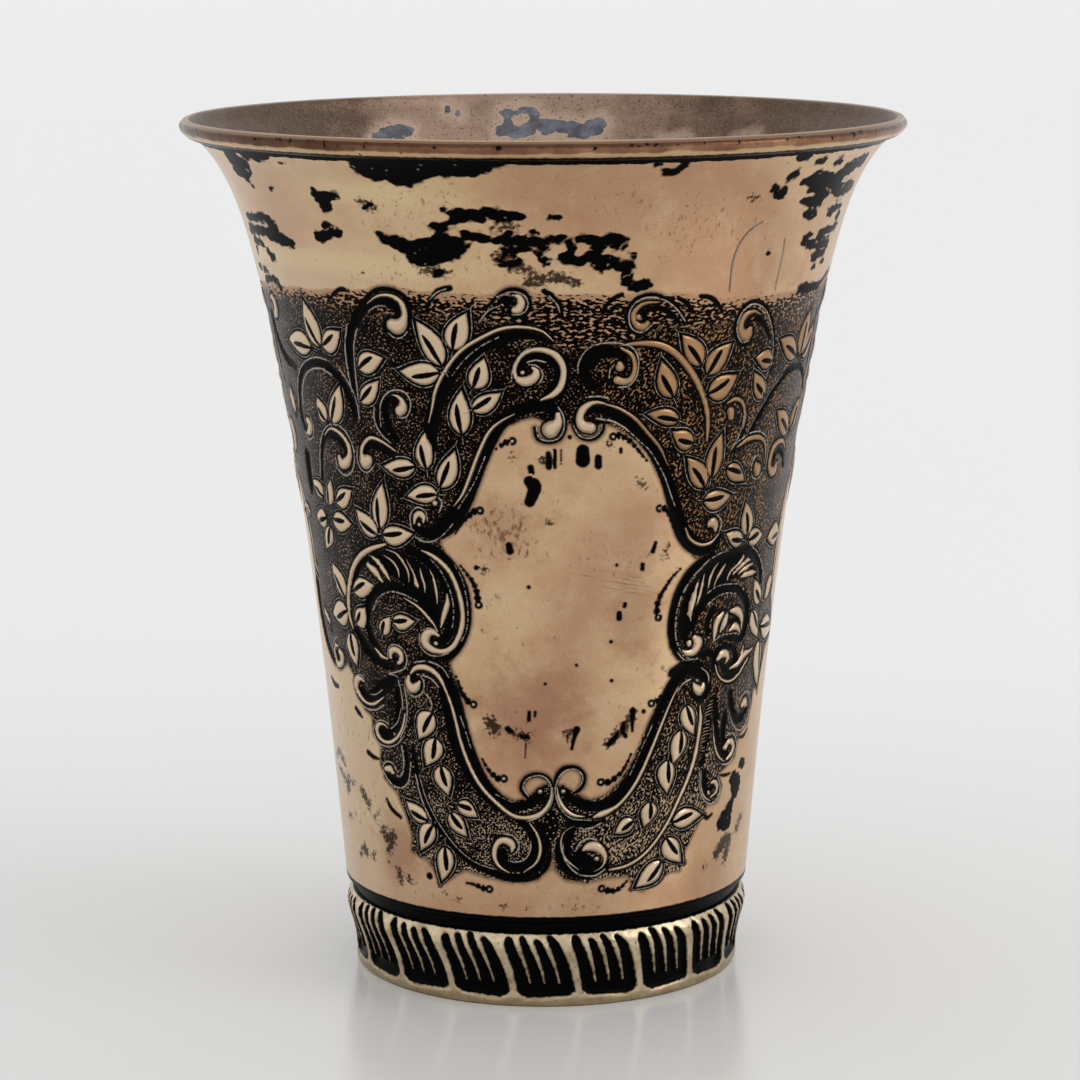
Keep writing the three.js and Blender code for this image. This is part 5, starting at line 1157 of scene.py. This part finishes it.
def matGround(at, noise, groundD, colour):
    # small punch marks close together, worn away to dashes along the top
    rightSide = add("ADD", at["right"], add("MULTIPLY", noise["rag"], 3))
    rightSide = add("SMOOTH", rightSide, 4.5, 6)
    punch = add("MixRGB", rightSide, noise["punch"], noise["punchRight"])
    punch = add("MULTIPLY_ADD", noise["patches"], 0.3, punch)
    punch = add("MULTIPLY_ADD", rightSide, 0.03, punch)
    punch = add("ADD", punch, add("SMOOTH", at["up"], 24, 20, 0, 0.05))
    worn = add("SMOOTH", punch, 0.73, 0.8)
    edgeFade = add("ADD", groundD, add("MULTIPLY", noise["rag"], 1.5))
    edgeFade = add("SMOOTH", edgeFade, -1.2, 0.3, 0, 0.26)
    dashes = add("SMOOTH", add("ADD", noise["dashes"], edgeFade), 0.53, 0.63)
    topWear = add("SMOOTH", at["across"], -8, 0, 0, 1.5)
    topWear = add("ADD", add("MULTIPLY_ADD", noise["rag"], 2, at["up"]), topWear)
    midWear = add("ABSOLUTE", add("SUBTRACT", at["across"], 4.5))
    topWear = add("ADD", topWear, add("SMOOTH", midWear, 5.5, 3, 0, 1.6))
    topWear = add("SMOOTH", topWear, *wallFinish["topWorn"])
    worn = add("MixRGB", topWear, worn, dashes)
    tone = add("MixRGB", rightSide, colour["groundLight"], colour["groundBrown"])
    tone = add("MixRGB", add("SMOOTH", at["up"], 34, 26, 0, 0.7), tone, colour["groundPale"])
    topTone = add("MixRGB", 0.4, colour["silver"], colour["blush"])
    tone = add("MixRGB", add("MULTIPLY", topWear, 0.7), tone, topTone)
    return worn, add("MixRGB", worn, colour["groundDark"], tone)


def nearHeight(up, height, far, near):
    # 1 at a height, fading to 0 some mm above and below it
    return add("SMOOTH", add("ABSOLUTE", add("SUBTRACT", up, height)), far, near)


def warmSilver(at, noise, smudge, halo, colour):
    # uneven warm silver: blushes, wiped streaks, a paler left side that is painted light, two painted sheen bands on
    # the neck, dirt, rust specks high on the left of the panel, fine scuffs across its right side, and darkening
    # towards edges, part tarnish, part painted shade
    blushD = add("VertexColor", layer_name="hollowShape", out=1)
    blush = add("SMOOTH", add("MULTIPLY_ADD", noise["rag"], 1.6, blushD), 6, -1.5, 0, 0.7)
    # painted light: the left side paler
    leftPaintedLight = add("SMOOTH", at["right"], -8, -24, 0, 0.55)
    leftPaintedLight = add("MULTIPLY", leftPaintedLight, add("SMOOTH", at["up"], 74, 80, 1, 0.45))
    # painted sheen: two pale bands across the neck
    sheenHigh = nearHeight(at["up"], wallFinish["sheenAt"][0], 2, 0.3)
    sheenHigh = add("MULTIPLY", sheenHigh, add("SMOOTH", at["across"], -22, -16))
    sheenBands = add("MAXIMUM", sheenHigh, nearHeight(at["up"], wallFinish["sheenAt"][1], 1.9, 0.3))
    sheenBands = add("MULTIPLY", sheenBands, add("SMOOTH", at["across"], -4, -11, 0, 0.6))
    dirty = add("ADD", noise["dirt"], add("MapRange", noise["broad"], 0.4, 0.65, -0.06, 0.06))
    rusty = add("VectorMath MULTIPLY", add("VectorMath SUBTRACT", at["flat"], wallFinish["rustAt"]), (0.17, 0.16, 0))
    rusty = add("SMOOTH", add("VectorMath LENGTH", rusty, out="Value"), 1.2, 0.2, -0.3, 0.06)
    rusty = add("ADD", noise["dirt"], rusty)
    scuffs = add("VectorMath LENGTH", add("VectorMath MULTIPLY", at["scuffed"], (0.17, 0.6, 0)), out="Value")
    scuffs = add("SMOOTH", scuffs, 1, 0.4, 0, 0.55)
    scuffs = add("MULTIPLY", add("SMOOTH", noise["scuffs"], 0.52, 0.62), scuffs)
    layers = [
        (blush, "blush"), (add("MapRange", noise["wipes"], 0.42, 0.72, 0, 0.18), "blush"),
        (add("MapRange", noise["grain"], 0.5, 0.75, 0, 0.3), "blush"),
        (add("MapRange", noise["grain"], 0.5, 0.25, 0, 0.25), "creamAndLight"),
        (add("MapRange", noise["clouds"], 0.5, 0.7, 0, 0.4), "blush"),
        (add("MapRange", noise["clouds"], 0.48, 0.3, 0, 0.3), "creamAndLight"), (leftPaintedLight, "creamAndLight"), (sheenBands, "paintedSheen"),
        (add("SMOOTH", dirty, 0.62, 0.74, 0, 0.55), "grimeAndShade"), (add("SMOOTH", rusty, 0.52, 0.7, 0, 0.75), "rust"),
        (scuffs, "lipBrown"),
    ]
    for across, up, halfWide, halfTall, strength in wallFinish["films"]:  # brown film that a quick wipe leaves
        film = add("VectorMath SUBTRACT", at["flat"], (across, up, 0))
        film = add("VectorMath MULTIPLY", film, (1 / halfWide, 1 / halfTall, 0))
        film = add("MULTIPLY_ADD", noise["clouds"], -2, add("VectorMath LENGTH", film, out="Value"))
        layers.append((add("SMOOTH", film, 0.2, -0.8, 0, strength), "film"))
    freckles = add("SMOOTH", noise["freckles"], 0.7, 0.76, 0, 0.45)
    layers.append((add("MAXIMUM", freckles, add("MULTIPLY", smudge, 0.93)), "smudge"))
    # darkening towards edges: part tarnish, part painted shade
    layers.append((add("MULTIPLY", halo, 0.75), "grimeAndShade"))
    silver = add("MixRGB", add("MapRange", noise["broad"], 0.35, 0.65), colour["silver"], colour["rubbed"])
    for share, tone in layers:
        silver = add("MixRGB", share, silver, colour[tone])
    return silver


def mouthSilver(at, noise, stainD, colour):
    # the mouth is duller, pitted and pale round its stains; its far wall is browner to the left and right, painted
    # shade broken by random mottling
    # painted shade: the inner wall darker towards its left and right
    toLeft = add("SMOOTH", add("MULTIPLY_ADD", noise["rag"], 2, at["right"]), -15, -22)
    dull = add("ADD", toLeft, add("SMOOTH", at["right"], 0, 24))
    dull = add("ADD", dull, add("MULTIPLY_ADD", noise["mottle"], 1.8, -0.9))
    nearStain = add("MULTIPLY_ADD", noise["rag"], 0.5, stainD)
    silver = colour["inner"]
    for share, tone in (
        (add("Clamp", dull, 0, 1), "innerDarkAndShade"), (add("MapRange", noise["grain"], 0.5, 0.72, 0, 0.3), "innerPale"),
        (add("MapRange", noise["grain"], 0.48, 0.28, 0, 0.35), "innerDarkAndShade"),
        (add("SMOOTH", at["up"], 84.5, 70, 0, 0.9), "innerDeep"),
        (add("SMOOTH", nearStain, 1.5, 0.1, 0, 0.5), "innerPale"),
        (add("SMOOTH", noise["pits"], 0.6, 0.7, 0, 0.7), "grimeAndShade"),
    ):
        silver = add("MixRGB", share, silver, colour[tone])
    return silver


def chasedSilver():
    material = startMaterial("chasedOldSilver")
    colour = {key: toLinear(value) for key, value in wallFinish["colours"].items()}
    at = wallPlaces()
    noise = wallPatterns(at)
    fine, wobble, rag = noise["fine"], noise["wobble"], noise["rag"]
    wear = add("VertexColor", layer_name="wearShape", out=None)
    tarnishD, groundD, inner = (add("SeparateColor", wear.outputs[0], out=k) for k in range(3))
    outer = add("SUBTRACT", 1, inner)
    leafD, leafFill, leafRing, leafHighlight, slot = cutLeaves(noise)

    # mm to the edge of every other kind of stroke
    ridgeAway, ridgeWidth = readStroke("ridgeShape")
    hollowAway, hollowWidth = readStroke("hollowShape")
    lineAway, lineWidth = readStroke("lineShape")
    markAway, markWidth = readStroke("markShape")
    steady = add("MULTIPLY", wobble, add("MapRange", ridgeWidth, 0.05, 0.5, 0.2, 1))
    ridgeD = add("ADD", add("SUBTRACT", ridgeAway, ridgeWidth), steady)
    hollowD = add("ADD", add("SUBTRACT", hollowAway, hollowWidth), wobble)
    lineD = add("SUBTRACT", lineAway, lineWidth)
    markD = add("ADD", add("SUBTRACT", markAway, markWidth), wobble)
    stainD = add("ADD", add("ADD", tarnishD, noise["lobes"]), -0.06)
    smudgeD = add("ADD", wear.outputs[1], add("MULTIPLY_ADD", fine, 2.2, -0.98))

    # what each stroke covers, 0 to 1
    ridgeFill = add("SMOOTH", ridgeD, 0.05, -0.07)
    ridgeRing = add("SMOOTH", ridgeD, 0.45, 0.12)
    hollow = add("SMOOTH", hollowD, 0.12, -0.06)
    # the thin pale lines are painted highlights
    highlightLine = add("MULTIPLY", add("SMOOTH", lineD, 0.05, -0.05), add("MapRange", fine, 0.25, 0.5))
    faint = add("MapRange", markWidth, 0.005, 0.05, 0.3, 1)
    spot = add("MULTIPLY", add("SMOOTH", markD, 0.08, -0.06), faint)
    unbroken = add("SUBTRACT", 1, add("SMOOTH", noise["gaps"], 0.7, 0.73))
    stain = add("MULTIPLY", add("SMOOTH", stainD, 0.05, -0.05), unbroken)
    smudge = add("MULTIPLY", add("SMOOTH", smudgeD, 0.3, -0.25), outer)
    ground = add("SMOOTH", add("ADD", groundD, add("MULTIPLY", rag, 0.5)), 0.15, -0.15)

    # what the polishing cloth reaches is pale; towards every edge the silver darkens, part tarnish and part painted
    # shade
    fill = add("MAXIMUM", leafFill, ridgeFill)
    rest = add("SUBTRACT", 1, fill)
    dark = add("MULTIPLY", leafRing, add("SUBTRACT", 1, leafHighlight))
    dark = add("MAXIMUM", hollow, add("MAXIMUM", dark, ridgeRing))
    dark = add("MULTIPLY", dark, rest)
    dark = add("MAXIMUM", add("MAXIMUM", dark, slot), spot)
    dark = add("MULTIPLY", dark, add("SUBTRACT", 1, highlightLine))
    dark = add("MAXIMUM", add("MAXIMUM", dark, stain), add("MULTIPLY", seamsAndRimShadow(at, noise), outer))
    # painted shade: leaves and ridges darker towards their edges
    leafShade = add("SMOOTH", leafD, -0.3, 0.02)
    ridgeShade = add("DIVIDE", ridgeAway, add("MAXIMUM", ridgeWidth, 0.05))
    ridgeShade = add("MULTIPLY", add("SMOOTH", ridgeShade, 0.3, 1), ridgeFill)
    fillShade = add("MAXIMUM", add("MULTIPLY", leafShade, leafFill), ridgeShade)
    # darkening near hollows, leaves, stains and the ground: part tarnish, part painted shade
    nearEdge = add("MULTIPLY", add("MINIMUM", stainD, markD), 2.6)
    nearEdge = add("MINIMUM", add("MINIMUM", hollowD, add("SUBTRACT", leafD, 0.4)), nearEdge)
    groundNear = add("MULTIPLY_ADD", add("MapRange", at["up"], 70, 73), 2, groundD)
    nearEdge = add("MINIMUM", nearEdge, groundNear)
    halo = add("MULTIPLY", add("SMOOTH", nearEdge, 0.5, -0.05), rest)

    # colours from below: warm silver, matted ground, pale or brown leaves, painted highlight lines, the mouth, the lip
    # and a painted highlight along its top, black
    worn, groundColour = matGround(at, noise, groundD, colour)
    matte = add("MULTIPLY", ground, rest)
    brownSide = add("MULTIPLY", add("SMOOTH", at["right"], 3, 10), add("SMOOTH", at["up"], 40, 58))
    leafTone = add("MixRGB", brownSide, colour["leafPale"], colour["leafBrown"])
    # painted shade on the rounded edges of leaves and ridges
    leafTone = add("MixRGB", add("MULTIPLY", fillShade, 0.65), leafTone, colour["grimeAndShade"])
    # painted highlights: the thin lines and the line in each leaf's groove
    paintedHighlight = add("MAXIMUM", highlightLine, add("MULTIPLY", leafHighlight, rest))
    lip = add("MULTIPLY", add("MapRange", at["up"], *wallFinish["lipFrom"], 0, 0.9), outer)
    # painted highlight along the top of the lip
    lipHighlight = add("SMOOTH", at["up"], 89.86, 89.98, 0, 0.55)
    lipHighlight = add("MULTIPLY", lipHighlight, add("MapRange", noise["broad"], 0.3, 0.6, 0.5, 1))
    greyStain = add("MixRGB", add("MapRange", noise["clouds"], 0.42, 0.62), colour["innerStain"], colour["innerBlue"])
    base = warmSilver(at, noise, smudge, halo, colour)
    for share, tone in (
        (matte, groundColour), (fill, leafTone), (paintedHighlight, colour["highlightLine"]),
        (inner, mouthSilver(at, noise, stainD, colour)), (lip, colour["lipBrown"]), (lipHighlight, colour["creamAndLight"]),
        (dark, add("MixRGB", inner, colour["black"], greyStain)),
    ):
        base = add("MixRGB", share, base, tone)

    roughness = add("MULTIPLY_ADD", noise["broad"], 0.12, wallFinish["roughness"])
    roughness = add("MULTIPLY_ADD", matte, wallFinish["roughGround"], roughness)
    roughness = add("MULTIPLY_ADD", inner, wallFinish["roughInside"], roughness)
    soot = add("MULTIPLY", add("MULTIPLY", dark, outer), wallFinish["sootDulls"])

    # fine relief in mm: sunk black and ground, raised punch marks, lines and streaks
    sunk = add("MAXIMUM", dark, add("MULTIPLY", matte, 0.6))
    height = add("MULTIPLY", add("MULTIPLY", worn, matte), 0.05)
    for relieved, amount in ((sunk, -0.07), (paintedHighlight, 0.04), (fillShade, -0.08), (noise["wipes"], 0.02)):
        height = add("MULTIPLY_ADD", relieved, amount, height)
    return endMaterial(material, {
        "Base Color": base, "Metallic": add("SUBTRACT", 1, soot), "Roughness": roughness,
        "Normal": add("Bump", {"Strength": 1, "Distance": mm, "Height": height}),
        "Specular IOR Level": wallFinish["specular"],
    })


finishPiece(cupBody, "cup_body", chasedSilver())
print("cup body finished")

# Rim wire: a half-round wire soldered under the lip, brown above where it is handled and pale below, a painted
# highlight
rim = {
    "face": [
        (36, 88), (36.4, 88.02), (36.85, 88.2), (37.3, 88.55), (37.58, 88.95), (37.68, 89.25), (37.62, 89.5),
        (37.45, 89.7), (37.2, 89.72),
    ],
    "back": [(37.05, 89.3), (36.4, 88.7), (35.95, 88.25)], "steps": 300, "filmPerMm": 0.3, "nicksPerMm": 1.3,
    "pale": "#cbaa82", "brown": "#a07659", "deepBrown": "#765340", "leftBrown": "#3f2c22", "topBrown": "#4a3326",
    "black": "#0d0907", "brownFrom": (89.05, 89.3), "topFrom": (89.35, 89.6), "blackAndShadowUnder": (88.5, 88.42),
}


def rimSilver():
    # silver handled for years: coppery film, darker brown to the left, dark nicks; the bright lower edge is a painted
    # highlight, and the black on its underside is tarnish and partly painted shadow
    material = startMaterial("handledRimSilver")
    objectMm = objectPlace()
    rightMm, upMm = (add("SeparateXYZ", objectMm, out=k) for k in (0, 2))
    film = add("TexNoise", {"Vector": objectMm, "Scale": rim["filmPerMm"], "Detail": 4})
    nicks = add("TexNoise", {"Vector": objectMm, "Scale": rim["nicksPerMm"], "Detail": 3})
    above = add("SMOOTH", add("MULTIPLY_ADD", film, 0.8, upMm), *rim["brownFrom"])
    brown = add("MixRGB", add("MapRange", film, 0.35, 0.65), toLinear(rim["brown"]), toLinear(rim["deepBrown"]))
    toLeft = add("SMOOTH", rightMm, -6, -24, 0, 0.6)
    brown = add("MixRGB", toLeft, brown, toLinear(rim["leftBrown"]))
    # painted highlight: the pale lower part of the wire
    tone = add("MixRGB", above, toLinear(rim["pale"]), brown)
    top = add("SMOOTH", add("MULTIPLY_ADD", nicks, 0.3, upMm), *rim["topFrom"], 0, 0.8)
    tone = add("MixRGB", top, tone, toLinear(rim["topBrown"]))
    # black under the wire: tarnish, partly painted shadow
    under = add("SMOOTH", add("MULTIPLY_ADD", nicks, 0.2, upMm), *rim["blackAndShadowUnder"])
    nicked = add("ADD", nicks, add("MapRange", upMm, 88.8, 89.5, -0.02, 0.06))
    nicked = add("SMOOTH", nicked, 0.66, 0.7)
    black = add("MAXIMUM", under, nicked)
    base = add("MixRGB", black, tone, toLinear(rim["black"]))
    bump = add("Bump", {"Strength": 0.5, "Distance": 0.1 * mm, "Height": nicks})
    return endMaterial(material, {
        "Base Color": base, "Metallic": add("MULTIPLY_ADD", black, -0.95, 1),
        "Roughness": add("MULTIPLY_ADD", film, 0.2, 0.18), "Normal": bump, "Specular IOR Level": 0.05,
    })


rimWire = spinSection("rimWire", rim["face"] + rim["back"], rim["steps"])
finishPiece(rimWire, "rim_wire", rimSilver())
print("rim wire finished")

# Foot ring: groups of four leaning flutes between broad pale ridges
foot = {
    "groups": 19, "flutes": 4, "columnsPerGroup": 44, "radius": 21, "broadLow": 0.75, "broadHigh": 1.25,
    "fluteFoot": 1.05, "crestFoot": 2.6, "fluteTop": 7.55, "depth": 0.42, "roundEdge": 0.35, "lean": 1.8,
    "profile": [
        (20.2, 0), (20.42, 0.45), (20.4, 1.2), (20.5, 2.5), (20.78, 4), (21.15, 5.3), (21.4, 6.3), (21.3, 7.1),
        (20.95, 7.7), (20.7, 8),
    ],
    "soleRings": [0.02, 0.2, 0.45, 0.8, 1.2], "fluteRings": (1.3, 7.75, 0.17), "topRings": [7.85, 8],
    "inner": [
        (20.4, 8), (20.2, 7.4), (19.95, 5), (19.7, 2.6), (19.6, 1), (18.25, 0.62), (18.22, 0.1), (18.4, 0),
        (19.4, 0),
    ],
    "pale": "#d3c3a4", "worn": "#ab9473", "brown": "#4d3826", "sole": "#8c7456", "black": "#020202",
    "ragPerMm": 1.8, "filmPerMm": 0.6, "specksPerMm": 2.2,
}


def footOuter(height):
    radii, heights = zip(*foot["profile"])
    return np.interp(height, heights, radii)


def spinFoot():
    heights = np.concatenate([foot["soleRings"], np.arange(*foot["fluteRings"]), foot["topRings"]])
    outer = list(zip(footOuter(heights), heights))
    return spinSection("flutedFootRing", outer + foot["inner"], foot["groups"] * foot["columnsPerGroup"])


def fluteDistance(angle, height):
    # mm to the edge of the sunk flutes, less than 0 inside them
    rise = np.clip((height - foot["fluteFoot"]) / (foot["fluteTop"] - foot["fluteFoot"]), 0, 1.1)
    pitch = math.tau * foot["radius"] / foot["groups"]
    around = (angle * foot["radius"] + foot["lean"] * rise * (0.4 + 0.6 * rise)) / pitch
    group = np.round(around)
    offset = (around - group) * pitch
    half = (pitch - foot["broadLow"] - (foot["broadHigh"] - foot["broadLow"]) * rise ** 2) / 2
    cell = 2 * half / foot["flutes"]
    along = offset + half
    crestRise = np.clip((height - foot["crestFoot"]) / (foot["fluteTop"] - foot["crestFoot"]), 0, 1)
    crest = np.abs(along - cell * np.clip(np.round(along / cell), 1, foot["flutes"] - 1))
    crest = np.hypot(crest, np.maximum(foot["crestFoot"] - height, 0)) - 0.07 - 0.25 * crestRise ** 1.2
    flute = np.clip(np.floor(along / cell), 0, foot["flutes"] - 1)
    uneven = 0.22 * np.sin(2.7 * flute + 1.9 * group + 0.8 * flute * group)  # no two flutes end alike
    nose = np.abs(along / cell - flute - 0.5) * 2
    top = height - (foot["fluteTop"] + 0.1 + uneven - 0.8 * nose ** 2)
    corner = np.maximum(np.abs(offset) / half - 0.6, 0) / 0.4
    bottom = foot["fluteFoot"] + 0.1 * np.sin(3.1 * group + offset) + 0.6 * corner ** 2 - height
    return np.maximum(np.maximum(np.abs(offset) - half, -crest), np.maximum(top, bottom))


footRing = spinFoot()
places, corners = readMesh(footRing)
radius = np.hypot(places[:, 0], places[:, 1])
outerSide = radius > footOuter(places[:, 2]) - 0.3
angle = np.arctan2(places[:, 0], -places[:, 1])
sunk = np.clip(-fluteDistance(angle, places[:, 2]) / foot["roundEdge"], 0, 1)
sunk = np.where(outerSide, sunk * sunk * (3 - 2 * sunk), 0)
places[:, :2] *= (1 - foot["depth"] * sunk / radius)[:, None]
writePlaces(footRing, places)
angles = aroundFaces(places, corners)
faceHeight = places[:, 2][corners]
fluteShape = np.ones((len(corners), 4, 4))
fluteShape[..., 0] = np.where(outerSide[corners], fluteDistance(angles, faceHeight), farAway)
writeCorners(footRing, "fluteShape", fluteShape)
writeMap(footRing, "footMm", np.stack([angles * foot["radius"], faceHeight], -1))


def flutedSilver():
    # rolled silver strip: pale where it is handled, black down in the flutes
    material = startMaterial("flutedFootSilver")
    flatMm = add("UVMap", uv_map="footMm")
    upMm = add("SeparateXYZ", flatMm, out=1)
    fluteD = add("SeparateColor", add("VertexColor", layer_name="fluteShape"))
    rag = add("TexNoise", {"Vector": flatMm, "Scale": foot["ragPerMm"], "Detail": 4})
    rag = add("MULTIPLY_ADD", rag, 0.34, -0.17)
    edge = add("ADD", fluteD, rag)
    sunk = add("SMOOTH", edge, 0.06, -0.08)
    groove = add("SMOOTH", add("ADD", upMm, rag), 7.78, 7.9)
    dark = add("MAXIMUM", sunk, groove)
    halo = add("SMOOTH", edge, 0.22, 0)
    film = add("TexNoise", {"Vector": flatMm, "Scale": foot["filmPerMm"], "Detail": 5, "Roughness": 0.6})
    specks = add("TexNoise", {"Vector": flatMm, "Scale": foot["specksPerMm"], "Detail": 3})
    specks = add("SMOOTH", specks, 0.6, 0.7)
    silver = add("MixRGB", add("MapRange", film, 0.4, 0.7), toLinear(foot["pale"]), toLinear(foot["worn"]))
    soiled = add("MAXIMUM", add("MULTIPLY", halo, 0.5), add("MULTIPLY", specks, 0.6))
    silver = add("MixRGB", soiled, silver, toLinear(foot["brown"]))
    # darker towards the bottom edge
    sole = add("SMOOTH", upMm, 1.2, 0.8, 0, 0.6)
    silver = add("MixRGB", sole, silver, toLinear(foot["sole"]))
    base = add("MixRGB", dark, silver, toLinear(foot["black"]))
    bump = add("Bump", {"Strength": 0.8, "Distance": 0.2 * mm, "Height": rag})
    return endMaterial(material, {
        "Base Color": base, "Metallic": add("MULTIPLY_ADD", dark, -0.97, 1),
        "Roughness": add("MULTIPLY_ADD", film, 0.15, 0.24), "Normal": bump, "Specular IOR Level": 0.03,
    })


finishPiece(footRing, "foot_ring", flutedSilver())
print("foot ring finished")

# Base disc: raised floor of the cup, soldered inside the foot
base = {
    "edge": 18.9, "low": 0.72, "thick": 0.8, "dome": 0.8, "steps": 128, "rings": 14, "weld": 0.12,
    "pale": "#c4b7a4", "dull": "#9f8e7a", "stain": "#2c211c", "ringSpacing": 0.7854, "filmPerMm": 0.25,
    "stainsPerMm": 0.6,
}


def spinDisc():
    reach = np.linspace(0.05, base["edge"], base["rings"])
    crown = base["dome"] * (1 - (reach / base["edge"]) ** 2)
    under = [(r, base["low"] + c) for r, c in zip(reach, crown)]
    over = [(r, base["low"] + base["thick"] + c) for r, c in zip(reach[::-1], crown[::-1])]
    return spinSection("baseDisc", under + over, base["steps"])


baseDisc = spinDisc()
bpy.ops.object.mode_set(mode="EDIT")
bpy.ops.mesh.select_all(action="SELECT")
bpy.ops.mesh.remove_doubles(threshold=base["weld"] * mm)  # closes the small hole in the middle
bpy.ops.object.mode_set(mode="OBJECT")


def floorSilver():
    # spun silver floor, dulled by drink: faint rings of the lathe 0.8 mm apart
    material = startMaterial("spunFloorSilver")
    objectMm = objectPlace()
    ringScale = math.tau / 20 / base["ringSpacing"]  # a wave of scale 1 repeats every tau / 20
    turned = {"Vector": objectMm, "Scale": ringScale, "Distortion": 1}
    rings = add("TexWave", turned, wave_type="RINGS", rings_direction="Z")
    film = add("TexNoise", {"Vector": objectMm, "Scale": base["filmPerMm"], "Detail": 4})
    stains = add("TexNoise", {"Vector": objectMm, "Scale": base["stainsPerMm"], "Detail": 4})
    stains = add("SMOOTH", stains, 0.6, 0.7)
    tone = add("MixRGB", add("MapRange", film, 0.35, 0.65), toLinear(base["pale"]), toLinear(base["dull"]))
    tone = add("MixRGB", add("MULTIPLY", stains, 0.7), tone, toLinear(base["stain"]))
    bump = add("Bump", {"Strength": 0.4, "Distance": 0.1 * mm, "Height": rings})
    roughness = add("MULTIPLY_ADD", film, 0.2, 0.3)
    return endMaterial(material, {"Base Color": tone, "Metallic": 1, "Roughness": roughness, "Normal": bump})


finishPiece(baseDisc, "base_disc", floorSilver())
print("base disc finished")

# Plain pale paper under and far behind the cup, in metres
stage = {"near": "#dededd", "far": "#e7e7e8", "nearTo": -0.04, "farFrom": 0.18, "size": 60, "grainPerMetre": 900}


def paperWithPaintedShade():
    # smooth coated paper: a soft shine, and painted shade making it a little darker in front near the cup
    material = startMaterial("paleStudioPaper")
    place = add("TexCoord", out="Object")
    grain = add("TexNoise", {"Vector": place, "Scale": stage["grainPerMetre"], "Detail": 2})
    # painted shade: darker in front near the cup, lighter behind
    back = add("SMOOTH", add("SeparateXYZ", place, out=1), stage["nearTo"], stage["farFrom"])
    share = add("MULTIPLY_ADD", grain, 0.3, add("MULTIPLY_ADD", back, 1, -0.15))
    tone = add("MixRGB", share, toLinear(stage["near"]), toLinear(stage["far"]))
    return endMaterial(material, {"Base Color": tone, "Roughness": 0.2, "Specular IOR Level": 0.5})


bpy.ops.object.select_all(action="DESELECT")
bpy.ops.mesh.primitive_plane_add(size=stage["size"], location=(0, 0, 0))
table = bpy.context.object
table.name = "paperTable"
table.data.materials.append(paperWithPaintedShade())

# Soft studio light: an even white room, and one large panel to the right for the shine
light = {"room": 0.92, "name": "panelRight", "power": 1.6, "place": (0.75, -0.25, 0.45), "size": 0.5}
world = bpy.data.worlds.new("paleRoom")
bpy.context.scene.world = world
world.use_nodes = True
tree = world.node_tree
tree.nodes.clear()
add("OutputWorld", add("Background", (1, 1, 1, 1), light["room"]), out=None)
bpy.ops.object.light_add(type="AREA", location=light["place"])
panel = bpy.context.object
panel.name = light["name"]
panel.data.energy = light["power"]
panel.data.size = light["size"]
panel.rotation_euler = Vector(light["place"]).to_track_quat("Z", "Y").to_euler()

# Camera at the photograph's place, in mm and radians
view = {
    "place": (-0.503, -383.28, 115.21), "down": 0.1809, "roll": -0.00436, "focalPixels": 3674.5, "imagePixels": 1080,
    "sensor": 36,
}
bpy.ops.object.camera_add(location=[v * mm for v in view["place"]])
camera = bpy.context.object
camera.name = "photoCamera"
tilt = Euler((math.pi / 2 - view["down"], 0, 0)).to_matrix()
camera.rotation_euler = (tilt @ Matrix.Rotation(view["roll"], 3, "Z")).to_euler()
camera.data.sensor_width = view["sensor"]
camera.data.lens = view["sensor"] * view["focalPixels"] / view["imagePixels"]
camera.data.clip_start = 0.01
bpy.context.scene.camera = camera
bpy.context.scene.view_settings.view_transform = "Standard"
print("stage, light and camera set")
